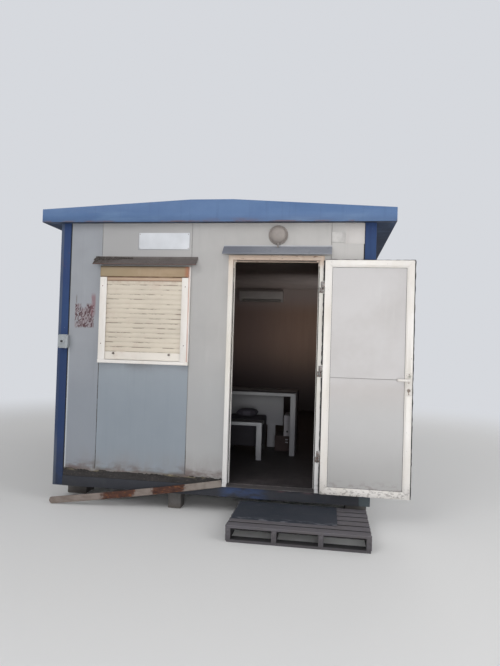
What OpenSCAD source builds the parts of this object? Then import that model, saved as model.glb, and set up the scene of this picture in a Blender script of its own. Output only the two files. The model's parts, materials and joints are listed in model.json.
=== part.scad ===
// Portable site cabin: a steel base and posts, flat sandwich panels, a shallow two-slope roof,
// a door that swings right round against the wall and a window behind a roller shutter.
// X runs along the front, Y runs from the front to the back, Z is up from the ground.

/* [Cabin] */
// Width over the corner posts
cabin_w = 3000; // [2900:10:3200]
// Length over the corner posts
cabin_l = 6000; // [4800:100:7200]
// Height of the base rails above the ground
base_z = 155; // [120:5:200]
// Height of the base rails
rail_h = 95; // [90:5:100]
// Side of a square corner post
post_w = 100; // [90:5:110]
// Underside of the ceiling above the ground
ceiling_z = 2690; // [2650:10:2800]

/* [Walls] */
// Thickness of a wall panel
wall_t = 60; // [50:5:80]
// How far the wall skin stands back from the posts
wall_back = 8; // [5:1:10]
// Half width of the groove at a panel joint
groove = 4; // [2:1:6]
// Height of the folded trim along the foot of the walls
trim_h = 62; // [50:1:70]
// How much higher than the trim the front skin has rusted away
rusted_h = 16; // [6:1:25]

/* [Roof] */
// Overhang of the eaves past the posts
eave_over = 170; // [120:10:200]
// Overhang of the front and back fascias
fascia_over = 60; // [40:5:80]
// Height of the fascia at the eaves
fascia_eave_h = 125; // [110:5:150]
// Rise from the eaves to the ridge
ridge_rise = 83; // [60:1:120]
// Thickness of the folded sheets
sheet_t = 3; // [2:0.5:4]
// Spacing of the roof ribs
rib_pitch = 250; // [200:10:300]

/* [Door] */
// Left edge of the door frame
door_x = 1666; // [1640:1:1680]
// Width between the jambs
door_clear_w = 796; // [780:1:820]
// Top of the threshold to the underside of the door head
door_clear_h = 2083; // [2000:1:2090]
// Width of the frame's face
jamb_w = 42; // [38:1:50]
// Thickness of the leaf
leaf_t = 40; // [36:1:44]
// Gap at each side of the leaf
leaf_gap = 7; // [6:0.5:8]
// Width of the rubber seal along the leaf's free edge
seal_w = 9; // [7:0.5:10]
// Width of the leaf's stiles and rails
stile_w = 64; // [58:1:70]
// Height of the handle above the foot of the leaf
handle_h = 1030; // [1000:5:1060]

/* [Window] */
// Left edge of the window
win_x = 423; // [400:1:440]
// Width of the window
win_w = 884; // [860:1:900]
// Underside of the sill above the ground
win_z = 1347; // [1320:1:1360]
// Height of the window with its shutter box
win_h = 923; // [900:1:930]
// Height of the shutter box
box_h = 105; // [90:1:110]
// Height of one slat
slat_h = 45.5; // [40:0.5:50]

/* [Doorstep] */
// Width of the pallet
pallet_w = 1135; // [1100:5:1200]
// Depth of the pallet
pallet_d = 673; // [640:1:800]
// Height of the pallet
pallet_h = 132; // [110:1:145]
// Left edge of the pallet
pallet_x = 1833; // [1800:1:1850]

/* [Hidden] */

$fn = 48;

// Colours of the materials
panel_grey = [0.66, 0.67, 0.68];
panel_blue_grey = [0.56, 0.6, 0.64];
frame_blue = [0.2, 0.31, 0.52];
frame_white = [0.88, 0.87, 0.84];
shutter_cream = [0.86, 0.81, 0.71];
box_tan = [0.7, 0.61, 0.47];
cap_brown = [0.3, 0.25, 0.22];
cap_grey = [0.42, 0.46, 0.52];
zinc_grey = [0.5, 0.52, 0.54];
timber_grey = [0.5, 0.47, 0.45];
mat_dark = [0.2, 0.23, 0.27];
seat_dark = [0.2, 0.19, 0.22];
floor_brown = [0.24, 0.18, 0.15];
box_brown = [0.36, 0.24, 0.17];
furniture_white = [0.86, 0.86, 0.86];

// Levels
rail_top = base_z + rail_h;
deck_t = 18;
deck_top = rail_top + deck_t;
wall_in = wall_back + wall_t;
eave_z = ceiling_z - 7;
fascia_top_eave = eave_z + fascia_eave_h;
ridge_z = fascia_top_eave + ridge_rise;
mid_w = cabin_w / 2;
post_gap = 0.5;
trim_d = 14;
trim_t = 2;
foot_recess = trim_d - trim_t;

// Base and roof framing
rail_w = 50;
rail_web = 6;
joist_count = 9;
joist_h = 80;
joist_w = 45;
ceiling_t = 60;
rib_h = 18;
rib_w = 36;
roof_drop = rib_h + 25;
ridge_flat = 200;
flange = 45;
slope_angle = atan(ridge_rise / (mid_w + eave_over - ridge_flat));
sheet_x = -eave_over + sheet_t + 2;
sheet_eave_z = fascia_top_eave - roof_drop;
top_rail_h = sheet_eave_z - sheet_x * tan(slope_angle) - ceiling_z;

// Door places, with the leaf folded right back against the wall
threshold_h = 6;
sill_z = rail_top + threshold_h;
door_y = -20;
stop_w = 12;
stop_gap = 5;
door_open_x = door_x + jamb_w;
door_end_x = door_open_x + door_clear_w;
frame_end_x = door_end_x + jamb_w;
door_head_z = sill_z + door_clear_h;
door_top_z = door_head_z + jamb_w;
leaf_w = door_clear_w - 2 * leaf_gap - seal_w;
leaf_h = door_clear_h - 10;
leaf_z = sill_z + 5;
hinge_r = 8;
hinge_pin_r = 4;
hinge_play = 0.5;
hinge_h = 100;
hinge_plate_t = 2.5;
hinge_x = door_end_x + jamb_w / 2 + 0.5;
hinge_y = door_y - 10;
leaf_x = 2 * hinge_x - (door_end_x - leaf_gap);
leaf_y = 2 * hinge_y - door_y - leaf_t;
hinge_levels = [leaf_z + 315, leaf_z + 1078, leaf_z + 1833];
handle_x = leaf_x + leaf_w - 29;
handle_z = leaf_z + handle_h;

// Window places
guide_w = 68;
guide_trim = 18;
win_y = -22;
sill_h = 31;
guide_depth = 42;
win_end_x = win_x + win_w;
win_top_z = win_z + win_h;
box_z = win_top_z - box_h;
curtain_back_y = -3;
bar_h = 76;
slat_bulge = 4;
sash_y = win_y + guide_depth;

// Whole extent, which puts the origin at the middle of the footprint on the ground
reach_left = -eave_over;
reach_right = leaf_x + leaf_w + seal_w;
pallet_gap = 17;
reach_front = -pallet_gap - pallet_d;
reach_back = cabin_l + fascia_over;
origin_x = (reach_left + reach_right) / 2;
origin_y = (reach_front + reach_back) / 2;

// Helpers
module placed() translate([-origin_x, -origin_y, 0]) children();
module slab(x0, x1, y0, y1, z0, z1) translate([x0, y0, z0]) cube([x1 - x0, y1 - y0, z1 - z0]);
module along_x(x0, x1) translate([x0, 0, 0]) rotate([90, 0, 90]) linear_extrude(x1 - x0) children();
module along_y(y0, y1) translate([0, y1, 0]) rotate([90, 0, 0]) linear_extrude(y1 - y0) children();
module up(z0, z1) translate([0, 0, z0]) linear_extrude(z1 - z0) children();
module both_sides() {
    children();
    translate([cabin_w, 0, 0]) mirror([1, 0, 0]) children();
}
module both_ends() {
    children();
    translate([0, cabin_l, 0]) mirror([0, 1, 0]) children();
}

// Plan of a wall run with a shallow groove in the outer skin at every panel joint. A joint at
// either end of the run leaves half a groove there.
function groove_at(x, y) = [[x - groove, y], [x, y + groove], [x + groove, y]];
module wall_run(x0, x1, joints) intersection() {
    polygon(concat([[x0 - groove, wall_back]],
        [for (x = joints, p = groove_at(x, wall_back)) p],
        [[x1 + groove, wall_back], [x1 + groove, wall_in], [x0 - groove, wall_in]]));
    translate([x0, wall_back]) square([x1 - x0, wall_t]);
}

// Wall from the base rail up to z1, set back over its foot where a trim covers it
module wall_panel(x0, x1, z1, joints, foot_h) {
    up(rail_top + foot_h, z1) wall_run(x0, x1, joints);
    up(rail_top, rail_top + foot_h)
        translate([x0, wall_back + foot_recess]) square([x1 - x0, wall_t - foot_recess]);
}

// Channel section with its web at x = 0 and its flanges towards +x
module channel(w, h, t) difference() {
    square([w, h]);
    translate([t, t]) square([w, h - 2 * t]);
}

// Top line of the fascia, lowered by drop and drawn in at both ends by inset
function roof_line(drop, inset) = let (lift = inset * tan(slope_angle) - drop) [
    [-eave_over + inset, fascia_top_eave + lift], [mid_w - ridge_flat, ridge_z - drop],
    [mid_w + ridge_flat, ridge_z - drop], [cabin_w + eave_over - inset, fascia_top_eave + lift]];
module roof_strip(drop, inset) polygon(concat(roof_line(0, inset), reversed(roof_line(drop, inset))));
function reversed(list) = [for (i = [len(list) - 1 : -1 : 0]) list[i]];
function corner(x, y, r, a0) = [for (i = [0 : 6]) [x + r * cos(a0 + 15 * i), y + r * sin(a0 + 15 * i)]];

module support_blocks() color("gray") {
    block = 200;
    for (x = [10, cabin_w - 10 - block], y = [300, (cabin_l - block) / 2, cabin_l - 500])
        slab(x, x + block, y, y + block, 0, base_z);
    both_ends() slab(1140, 1265, 50, 190, 0, base_z);
}

module base_rails() color(frame_blue) {
    both_ends() along_x(post_w, cabin_w - post_w)
        translate([0, base_z]) channel(rail_w, rail_h, rail_web);
    both_sides() along_y(post_w, cabin_l - post_w)
        translate([0, base_z]) channel(rail_w, rail_h, rail_web);
}

module floor_joists() color(frame_blue) for (i = [1 : joist_count])
    let (y = i * cabin_l / (joist_count + 1))
        along_x(rail_w, cabin_w - rail_w) translate([y - joist_w / 2, rail_top - joist_h])
            channel(joist_w, joist_h, 4);

module floor_deck() color(floor_brown) difference() {
    slab(wall_in, cabin_w - wall_in, wall_in, cabin_l - wall_in, rail_top, deck_top);
    both_ends() both_sides() slab(0, post_w, 0, post_w, rail_top - 1, deck_top + 1);
}

module corner_posts() color(frame_blue) both_ends() both_sides()
    slab(0, post_w, 0, post_w, base_z, ceiling_z);

front_joints = [win_x, win_end_x, frame_end_x + 58];
front_foot_h = trim_h + rusted_h;
module front_wall_left() color(panel_grey)
    wall_panel(post_w, win_x, ceiling_z, front_joints, front_foot_h);
module front_wall_under_window() color(panel_blue_grey)
    wall_panel(win_x, win_end_x, win_z, front_joints, front_foot_h);
module front_wall_over_window() color(panel_grey)
    up(win_top_z, ceiling_z) wall_run(win_x, win_end_x, front_joints);
module front_wall_middle() color(panel_grey)
    wall_panel(win_end_x, door_x, ceiling_z, front_joints, front_foot_h);
module front_wall_over_door() color(panel_grey)
    up(door_top_z, ceiling_z) wall_run(door_x, frame_end_x, front_joints);
module front_wall_right() color(panel_grey)
    wall_panel(frame_end_x, cabin_w - post_w, ceiling_z, front_joints, trim_h);

side_run = cabin_l - 2 * post_w;
back_run = cabin_w - 2 * post_w;
module on_left_side() translate([0, cabin_l - post_w, 0]) rotate(-90) children();
module side_wall() on_left_side()
    wall_panel(0, side_run, ceiling_z, [for (i = [1 : 4]) i * side_run / 5], trim_h);
module left_wall() color(panel_grey) side_wall();
module right_wall() color(panel_grey) translate([cabin_w, 0, 0]) mirror([1, 0, 0]) side_wall();
module back_wall() color(panel_grey) translate([0, cabin_l, 0]) mirror([0, 1, 0])
    wall_panel(post_w, cabin_w - post_w, ceiling_z,
        [for (i = [1 : 2]) post_w + i * back_run / 3], trim_h);

// Folded trim over the foot of the walls, missing at the front left where it has come loose
module foot_trim(x0, x1) along_x(x0, x1)
    translate([wall_back - trim_t, rail_top]) channel(trim_d, trim_h, trim_t);
module foot_trims() color(frame_white) {
    foot_trim(frame_end_x + post_gap, cabin_w - post_w);
    translate([0, cabin_l, 0]) mirror([0, 1, 0]) foot_trim(post_w, cabin_w - post_w);
    both_sides() on_left_side() foot_trim(0, side_run);
}

module top_rails() color(frame_blue) {
    both_ends() along_x(0, cabin_w) translate([0, ceiling_z]) channel(rail_w, top_rail_h, 4);
    both_sides() along_y(rail_w + post_gap, cabin_l - rail_w - post_gap)
        translate([0, ceiling_z]) channel(rail_w, top_rail_h, 4);
}

module ceiling() color(panel_grey)
    slab(rail_w, cabin_w - rail_w, rail_w, cabin_l - rail_w, ceiling_z, ceiling_z + ceiling_t);

// Ribbed sheet of one slope: a strip with raised ribs, its section across the cabin's length
rib_count = floor((cabin_l - 100) / rib_pitch);
module rib_section() {
    run = cabin_l - 4;
    first = (cabin_l - (rib_count - 1) * rib_pitch) / 2;
    top = [for (i = [0 : rib_count - 1]) let (y = first + i * rib_pitch)
        each [[y - rib_w / 2, sheet_t], [y - rib_w / 4, rib_h], [y + rib_w / 4, rib_h],
            [y + rib_w / 2, sheet_t]]];
    polygon(concat([[2, 0], [2, sheet_t]], top, [[run, sheet_t], [run, 0]]));
}
module roof_sheets() color(zinc_grey) both_sides()
    translate([sheet_x, 0, sheet_eave_z]) rotate([0, -slope_angle, 0])
        along_x(0, (mid_w - 3 - sheet_x) / cos(slope_angle)) rib_section();

module ridge_cap() color(frame_blue) along_y(flange + post_gap, cabin_l - flange - post_gap) polygon([
    [mid_w - ridge_flat, ridge_z - 24], [mid_w, ridge_z - 12], [mid_w + ridge_flat, ridge_z - 24],
    [mid_w + ridge_flat, ridge_z - 24 + sheet_t], [mid_w, ridge_z - 12 + sheet_t],
    [mid_w - ridge_flat, ridge_z - 24 + sheet_t]]);

// Folded fascia: a face, a soffit turned up against the top rail, a cover over the roof edge
module end_fascia() {
    face_y = -fascia_over;
    x0 = -eave_over + sheet_t;
    x1 = cabin_w - x0;
    along_y(face_y, face_y + sheet_t)
        polygon(concat([[-eave_over, eave_z]], roof_line(0, 0), [[cabin_w + eave_over, eave_z]]));
    slab(x0, x1, face_y, 0, eave_z, eave_z + sheet_t);
    slab(x0, x1, -sheet_t, 0, eave_z, ceiling_z + flange);
    along_y(face_y, flange) roof_strip(sheet_t, sheet_t);
    along_y(flange - sheet_t, flange) roof_strip(roof_drop - rib_h, sheet_t);
}
module end_fascias() color(frame_blue) both_ends() end_fascia();

module side_eaves() color(frame_blue) both_sides() {
    top_z = fascia_top_eave - 1;
    along_y(-fascia_over + sheet_t, cabin_l + fascia_over - sheet_t)
        translate([-eave_over, eave_z]) square([sheet_t, top_z - eave_z]);
    along_y(post_gap, cabin_l - post_gap) {
        translate([-eave_over, eave_z]) square([eave_over, sheet_t]);
        translate([-sheet_t, eave_z]) square([sheet_t, flange + 7]);
    }
    along_y(flange + post_gap, cabin_l - flange - post_gap) polygon([[-eave_over, top_z - sheet_t],
        [-eave_over, top_z], [-eave_over + flange, top_z + 2], [-eave_over + flange, top_z + 2 - sheet_t]]);
}

// Roller shutter: two channel guides, a box, a slatted curtain and its bottom bar
module guide_plan(face_w) {
    lip = 15;
    difference() {
        translate([0, win_y]) square([face_w, guide_depth]);
        translate([face_w - lip, curtain_back_y - 14]) square([lip, 19]);
    }
}
module shutter_guides() color(frame_white) {
    up(win_z + sill_h, box_z) translate([win_x, 0]) guide_plan(guide_w);
    up(win_z + sill_h, box_z) translate([win_end_x - guide_trim, 0]) mirror([1, 0]) guide_plan(60);
    slab(win_end_x - guide_trim, win_end_x, win_y + 6, win_y + guide_depth, win_z + sill_h, win_top_z);
}
module window_sill() color(frame_white)
    slab(win_x, win_end_x, win_y - 8, win_y + guide_depth, win_z, win_z + sill_h);
module box_section(grow) let (y0 = win_y - 8 - grow, y1 = win_y + guide_depth,
    z0 = box_z, z1 = win_top_z, c = 9) polygon([[y1, z0], [y0 + c, z0], [y0, z0 + c],
        [y0, z1 - c], [y0 + c, z1], [y1, z1]]);
module shutter_box() color(box_tan) {
    cap_t = 6;
    x0 = win_x + 5;
    x1 = win_end_x - guide_trim;
    along_x(x0, x1) box_section(0);
    for (x = [x0, x1 - cap_t]) along_x(x, x + cap_t) box_section(2);
}

// Slats of the curtain in section, y and z: a bulged outer face, a hook along the top edge, and
// a pocket along the bottom edge that holds the hook of the slat below
curtain_x0 = win_x + guide_w - 10;
curtain_x1 = win_end_x - guide_trim - 60 + 10;
slat_z0 = win_z + sill_h + bar_h + 2;
slat_count = ceil((box_z - slat_z0) / slat_h);
slat_edge = 5.4;
slat_seam = 0.6;
hook_play = 0.4;
hook = [[4.2, -slat_seam], [4.2, 5.5], [1.6, 5.5], [1.6, 3.5], [3, 3.5], [3, -slat_seam]];
pocket = [[2.6, 0], [2.6, 3.5 - hook_play], [1.6 - hook_play, 3.5 - hook_play],
    [1.6 - hook_play, 6.2], [4.2 + hook_play, 6.2], [4.2 + hook_play, 0]];
slat_front = [for (i = [0 : 6]) [slat_edge + slat_bulge * sin(180 * i / 6),
    (slat_h - slat_seam) * i / 6]];
module slat_section() polygon(concat(slat_front, [for (p = hook) [p[0], p[1] + slat_h]],
    [[0, slat_h - slat_seam], [0, 0]], pocket));
module curtain_place(z) along_x(curtain_x0, curtain_x1)
    translate([curtain_back_y, z]) mirror([1, 0]) children();
module shutter_curtain() color(shutter_cream) intersection() {
    for (i = [0 : slat_count - 1]) curtain_place(slat_z0 + i * slat_h) slat_section();
    slab(curtain_x0 - 1, curtain_x1 + 1, curtain_back_y - 20, curtain_back_y + 1, slat_z0 - 1, box_z);
}

// Bottom bar with a lip to lift it by and the same hook along its top
module shutter_bottom_bar() color(shutter_cream) curtain_place(slat_z0) let (z0 = 2 - bar_h)
    polygon(concat([[0, z0], [12, z0], [12, z0 + 9], [9, z0 + 12], [9, -4], [6, -slat_seam]], hook,
        [[0, -slat_seam]]));

module window_sash() color(frame_white) {
    bar = 48;
    z0 = win_z;
    difference() {
        slab(win_x, win_end_x, sash_y, wall_in, z0, win_top_z);
        for (i = [0, 1]) let (pane = (win_w - 3 * bar) / 2)
            slab(win_x + bar + i * (pane + bar), win_x + bar + i * (pane + bar) + pane,
                sash_y - 1, wall_in + 1, z0 + bar, win_top_z - bar);
    }
}
module window_glass() color("lightblue") {
    bar = 48;
    for (i = [0, 1]) let (pane = (win_w - 3 * bar) / 2, x = win_x + bar + i * (pane + bar))
        slab(x, x + pane, sash_y + 20, sash_y + 26, win_z + bar, win_top_z - bar);
}

// Folded rain cap over an opening, in section: a flange on the wall, a slope and a drip lip
module rain_cap(x0, x1, z_wall, z_lip, out, flange_h) along_x(x0, x1) polygon([
    [wall_back, z_wall + flange_h], [wall_back, z_wall - 6], [-out + sheet_t, z_lip + 8 - sheet_t],
    [-out + sheet_t, z_lip], [-out, z_lip], [-out, z_lip + 8],
    [wall_back - sheet_t, z_wall - 3], [wall_back - sheet_t, z_wall + flange_h]]);
module window_cap() color(cap_brown) rain_cap(361, 1370, 2352, 2280, 70, 14);
module door_cap() color(cap_grey) rain_cap(1613, 2609, 2473, 2383, 80, 6);

// Door frame: jambs, head and threshold with a stop behind the leaf
stop_y = door_y + leaf_t + stop_gap;
module door_frame() color(frame_white) {
    up(rail_top, door_top_z) {
        translate([door_x, door_y]) square([jamb_w, wall_in - door_y]);
        translate([door_end_x, door_y]) square([jamb_w, wall_in - door_y]);
        translate([door_open_x, stop_y]) square([stop_w, wall_in - stop_y]);
        translate([door_end_x - stop_w, stop_y]) square([stop_w, wall_in - stop_y]);
    }
    slab(door_open_x, door_end_x, door_y, wall_in, door_head_z, door_top_z);
    slab(door_open_x, door_end_x, stop_y, wall_in, door_head_z - stop_w, door_head_z);
    slab(door_open_x, door_end_x, door_y, wall_in, rail_top, sill_z);
}

// Hinges: the frame carries the outer knuckles and the pin, the leaf carries the middle knuckle
module knuckle(z, h, bore) translate([hinge_x, hinge_y, z]) difference() {
    cylinder(r = hinge_r, h = h);
    translate([0, 0, -1]) cylinder(r = bore, h = h + 2);
}
module frame_hinges() color(zinc_grey) for (z = hinge_levels) {
    z0 = z - hinge_h / 2;
    translate([hinge_x, hinge_y, z0]) {
        cylinder(r = hinge_r, h = hinge_h / 2);
        cylinder(r = hinge_pin_r, h = hinge_h);
    }
    slab(door_end_x + 2, frame_end_x - 2, door_y - hinge_plate_t, door_y, z0, z0 + hinge_h / 2);
}
module leaf_hinges() color(zinc_grey) for (z = hinge_levels) {
    z0 = z + hinge_play;
    h = hinge_h / 2 - hinge_play;
    plate_y = 2 * hinge_y - door_y;
    knuckle(z0, h, hinge_pin_r + hinge_play);
    slab(hinge_x, leaf_x + stile_w / 2, plate_y, plate_y + hinge_plate_t, z0, z0 + h);
}

// Leaf: four mitred members with a fine seam at each corner and a bead along the inner edge that
// stands back from both faces, and two infill panels
mitre_seam = 0.4;
bead_w = 12;
bead_back = 3;
module mitred_strip(length, w) polygon([[mitre_seam, 0], [length - mitre_seam, 0],
    [length - w - mitre_seam, w], [w + mitre_seam, w]]);
module mitred(length) {
    linear_extrude(leaf_t) mitred_strip(length, stile_w - bead_w);
    translate([0, 0, bead_back]) linear_extrude(leaf_t - 2 * bead_back)
        mitred_strip(length, stile_w);
}
module leaf_place() translate([leaf_x, leaf_y + leaf_t, leaf_z]) rotate([90, 0, 0]) children();
module leaf_frame() color(frame_white) leaf_place() {
    mitred(leaf_w);
    translate([leaf_w, leaf_h]) rotate(180) mitred(leaf_w);
    translate([0, leaf_h]) rotate(-90) mitred(leaf_h);
    difference() {
        translate([leaf_w, 0]) rotate(90) mitred(leaf_h);
        translate([handle_x - leaf_x, handle_h, -1]) cylinder(r = neck_r + 1, h = leaf_t + 2);
    }
}
module leaf_panels() color(panel_grey) leaf_place() {
    seam = 6;
    inset = 8;
    for (z = [[stile_w, handle_h - seam / 2], [handle_h + seam / 2, leaf_h - stile_w]])
        translate([stile_w, z[0], inset]) cube([leaf_w - 2 * stile_w, z[1] - z[0], leaf_t - 2 * inset]);
    translate([stile_w, handle_h - seam / 2, inset + 2])
        cube([leaf_w - 2 * stile_w, seam, leaf_t - 2 * inset - 4]);
}
// Rubber along the free edge, cut away at the lock
module leaf_seal() color(mat_dark) leaf_place() {
    seal_back = 10;
    for (z = [[0, handle_h - 155], [handle_h + 85, leaf_h]])
        translate([leaf_w, z[0], seal_back]) cube([seal_w, z[1] - z[0], leaf_t - 2 * seal_back]);
}

// Lock plates on both faces, and one handle that turns in them
plate_w = 52;
plate_h = 200;
plate_t = 3;
neck_r = 12;
module lock_plates() color(frame_white) for (y = [leaf_y - plate_t, leaf_y + leaf_t])
    difference() {
        slab(handle_x - plate_w / 2, handle_x + plate_w / 2, y, y + plate_t,
            handle_z - 135, handle_z - 135 + plate_h);
        translate([handle_x, y - 1, handle_z]) rotate([-90, 0, 0])
            cylinder(r = neck_r + 1, h = plate_t + 2);
        translate([handle_x, y - 1, handle_z - 88]) rotate([-90, 0, 0]) cylinder(r = 5, h = plate_t + 2);
    }
// Lever of round bar: a neck, a quarter bend and a grip with a round end
module lever() {
    out = 40;
    grip_l = 105;
    bend_r = 16;
    rotate([-90, 0, 0]) cylinder(r = neck_r, h = out - bend_r + leaf_t / 2);
    translate([-bend_r, out - bend_r + leaf_t / 2, 0]) {
        intersection() {
            rotate_extrude() translate([bend_r, 0]) circle(neck_r);
            translate([0, 0, -neck_r - 1]) cube([bend_r + neck_r + 1, bend_r + neck_r + 1, 2 * neck_r + 2]);
        }
        translate([0, bend_r, 0]) rotate([0, -90, 0]) cylinder(r = neck_r, h = grip_l - bend_r - neck_r);
        translate([bend_r + neck_r - grip_l, bend_r, 0]) sphere(neck_r);
    }
}
module door_handle() color(frame_white) translate([handle_x, leaf_y + leaf_t / 2, handle_z]) {
    lever();
    mirror([0, 1, 0]) lever();
}

// Fittings on the front wall
module round_lamp() color([0.5, 0.46, 0.42])
    translate([2118, wall_back, 2571]) rotate([90, 0, 0]) rotate_extrude() polygon(concat(
        [[0, 0], [90, 0], [90, 16], [84, 22]],
        [for (a = [0 : 15 : 75]) [84 * cos(a), 22 + 44 * sin(a)]],
        [[0, 66]]));
module sign_plate() color("white") slab(783, 1285, wall_back - 3, wall_back, 2432, 2594);
module rounded_box(x0, x1, z0, z1, r, y0, y1) along_y(y0, y1) polygon(concat(
    corner(x1 - r, z1 - r, r, 0), corner(x0 + r, z1 - r, r, 90),
    corner(x0 + r, z0 + r, r, 180), corner(x1 - r, z0 + r, r, 270)));
module junction_box() color(frame_white) {
    rounded_box(31, 124, 1476, 1602, 12, -36, 0);
    rounded_box(29, 126, 1474, 1604, 14, -48, -36);
}

// Foot trim that has come loose: its right end still sits at the door frame and its left end
// lies on the ground. It sags a little between them.
loose_x = 30;
loose_y = -95;
loose_run = door_x - 4 - loose_x;
loose_rise = rail_top - 5;
loose_length = sqrt(loose_run * loose_run + loose_rise * loose_rise);
loose_sag = 10;
function sagging(z) = [for (i = [0 : 12]) [loose_length * i / 12, z - 4 * loose_sag * i * (12 - i) / 144]];
module sagging_strip(z0, z1, depth) translate([0, depth, 0]) rotate([90, 0, 0])
    linear_extrude(depth) polygon(concat(sagging(z0), reversed(sagging(z1))));
module loose_trim() color([0.74, 0.66, 0.6]) translate([loose_x, loose_y, 0])
    rotate([0, -atan(loose_rise / loose_run), atan((-trim_d - loose_y) / loose_run)]) {
        sagging_strip(0, trim_h, trim_t);
        sagging_strip(0, trim_t, trim_d);
        sagging_strip(trim_h - trim_t, trim_h, trim_d);
    }

// Pallet that serves as the doorstep, with a mat on it
board_t = 22;
foot_t = 20;
board_count = 6;
module pallet_boards() color(timber_grey) {
    gap = 34;
    foot = 90;
    board = (pallet_d - (board_count - 1) * gap) / board_count;
    for (i = [0 : board_count - 1]) let (y = reach_front + i * (board + gap))
        slab(pallet_x, pallet_x + pallet_w, y, y + board, pallet_h - board_t, pallet_h);
    for (i = [0 : 2]) let (y = reach_front + i * (pallet_d - foot) / 2)
        slab(pallet_x, pallet_x + pallet_w, y, y + foot, 0, foot_t);
}
module pallet_bearers() color(timber_grey) {
    bearer = 40;
    for (i = [0 : 3]) let (x = pallet_x + i * (pallet_w - bearer) / 3)
        slab(x, x + bearer, reach_front, reach_front + pallet_d, foot_t, pallet_h - board_t);
}
module step_mat() color(mat_dark) slab(1845, 2712, -520, -25, pallet_h, pallet_h + 6);

// Furniture that shows through the doorway
desk_front = 1450;
desk_back = 2150;
desk_right = 2233;
desk_left = 833;
desk_top_z = 998;
module desk() color(furniture_white) {
    top_t = 36;
    leg = 60;
    slab(desk_left, desk_right, desk_front, desk_back, desk_top_z - top_t, desk_top_z);
    for (x = [desk_left, desk_right - leg])
        slab(x, x + leg, desk_front, desk_back, deck_top, desk_top_z - top_t);
    slab(desk_left + leg, 2052, 1960, 1978, 547, desk_top_z - top_t);
    slab(1856, 1956, 1960, 1978, deck_top, 547);
}
module side_table() color(furniture_white) {
    x0 = 1282;
    x1 = 1882;
    y0 = 1120;
    y1 = 1360;
    top_z = 685;
    leg = 58;
    back_leg = 40;
    slab(x0, x1, y0, y1, top_z - 36, top_z);
    for (x = [x0, x1 - leg]) slab(x, x + leg, y0, y0 + leg, deck_top, top_z - 36);
    for (x = [x0 + 48, x1 - 48 - back_leg])
        slab(x, x + back_leg, y1 - back_leg, y1, deck_top, top_z - 36);
}
// Upholstered seat pushed in under the desk, with a cushion on it
module low_seat() color(seat_dark) {
    x0 = 1400;
    x1 = 1860;
    y0 = 1400;
    y1 = 1850;
    foot = 40;
    slab(x0, x1, y0, y1, 360, 690);
    for (x = [x0 + 20, x1 - 20 - foot], y = [y0 + 20, y1 - 20 - foot])
        slab(x, x + foot, y, y + foot, deck_top, 360);
    along_y(1560, 1740) polygon(concat(corner(1705, 715, 60, 0), corner(1575, 715, 60, 90),
        [[1515, 690], [1765, 690]]));
}
module drawer_unit() color(box_brown) {
    slab(1975, 2165, 1735, 2110, deck_top, 450);
    slab(2080, 2165, 1750, 2110, 450, 700);
}
// Wall unit in section: a rounded top and belly with an outlet slot and its flap
module air_conditioner() color(furniture_white) {
    depth = 190;
    height = 220;
    x0 = 800;
    x1 = 1670;
    body = concat([[0, 0], [0, height]], corner(-depth + 40, height - 40, 40, 90),
        corner(-depth + 80, 80, 80, 180));
    translate([0, cabin_l - wall_in, 2420]) {
        difference() {
            along_x(x0, x1) polygon(body);
            along_x(x0 + 45, x1 - 45) polygon([[-150, -5], [-195, 45], [-140, 62], [-95, 22]]);
        }
        along_x(x0 + 48, x1 - 48) polygon([[-158, 30], [-154, 27], [-108, 32], [-110, 36]]);
    }
}

placed() support_blocks();
placed() base_rails();
placed() floor_joists();
placed() floor_deck();
placed() corner_posts();
placed() front_wall_left();
placed() front_wall_under_window();
placed() front_wall_over_window();
placed() front_wall_middle();
placed() front_wall_over_door();
placed() front_wall_right();
placed() left_wall();
placed() right_wall();
placed() back_wall();
placed() foot_trims();
placed() top_rails();
placed() ceiling();
placed() roof_sheets();
placed() ridge_cap();
placed() end_fascias();
placed() side_eaves();
placed() shutter_guides();
placed() window_sill();
placed() shutter_box();
placed() shutter_curtain();
placed() shutter_bottom_bar();
placed() window_sash();
placed() window_glass();
placed() window_cap();
placed() door_frame();
placed() door_cap();
placed() frame_hinges();
placed() leaf_frame();
placed() leaf_panels();
placed() leaf_seal();
placed() leaf_hinges();
placed() lock_plates();
placed() door_handle();
placed() round_lamp();
placed() sign_plate();
placed() junction_box();
placed() loose_trim();
placed() pallet_boards();
placed() pallet_bearers();
placed() step_mat();
placed() desk();
placed() side_table();
placed() low_seat();
placed() drawer_unit();
placed() air_conditioner();
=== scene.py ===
# Portable site cabin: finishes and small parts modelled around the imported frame.
import json
import math
import random

import bmesh
import bpy
from mathutils import Matrix, Vector, noise

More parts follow.
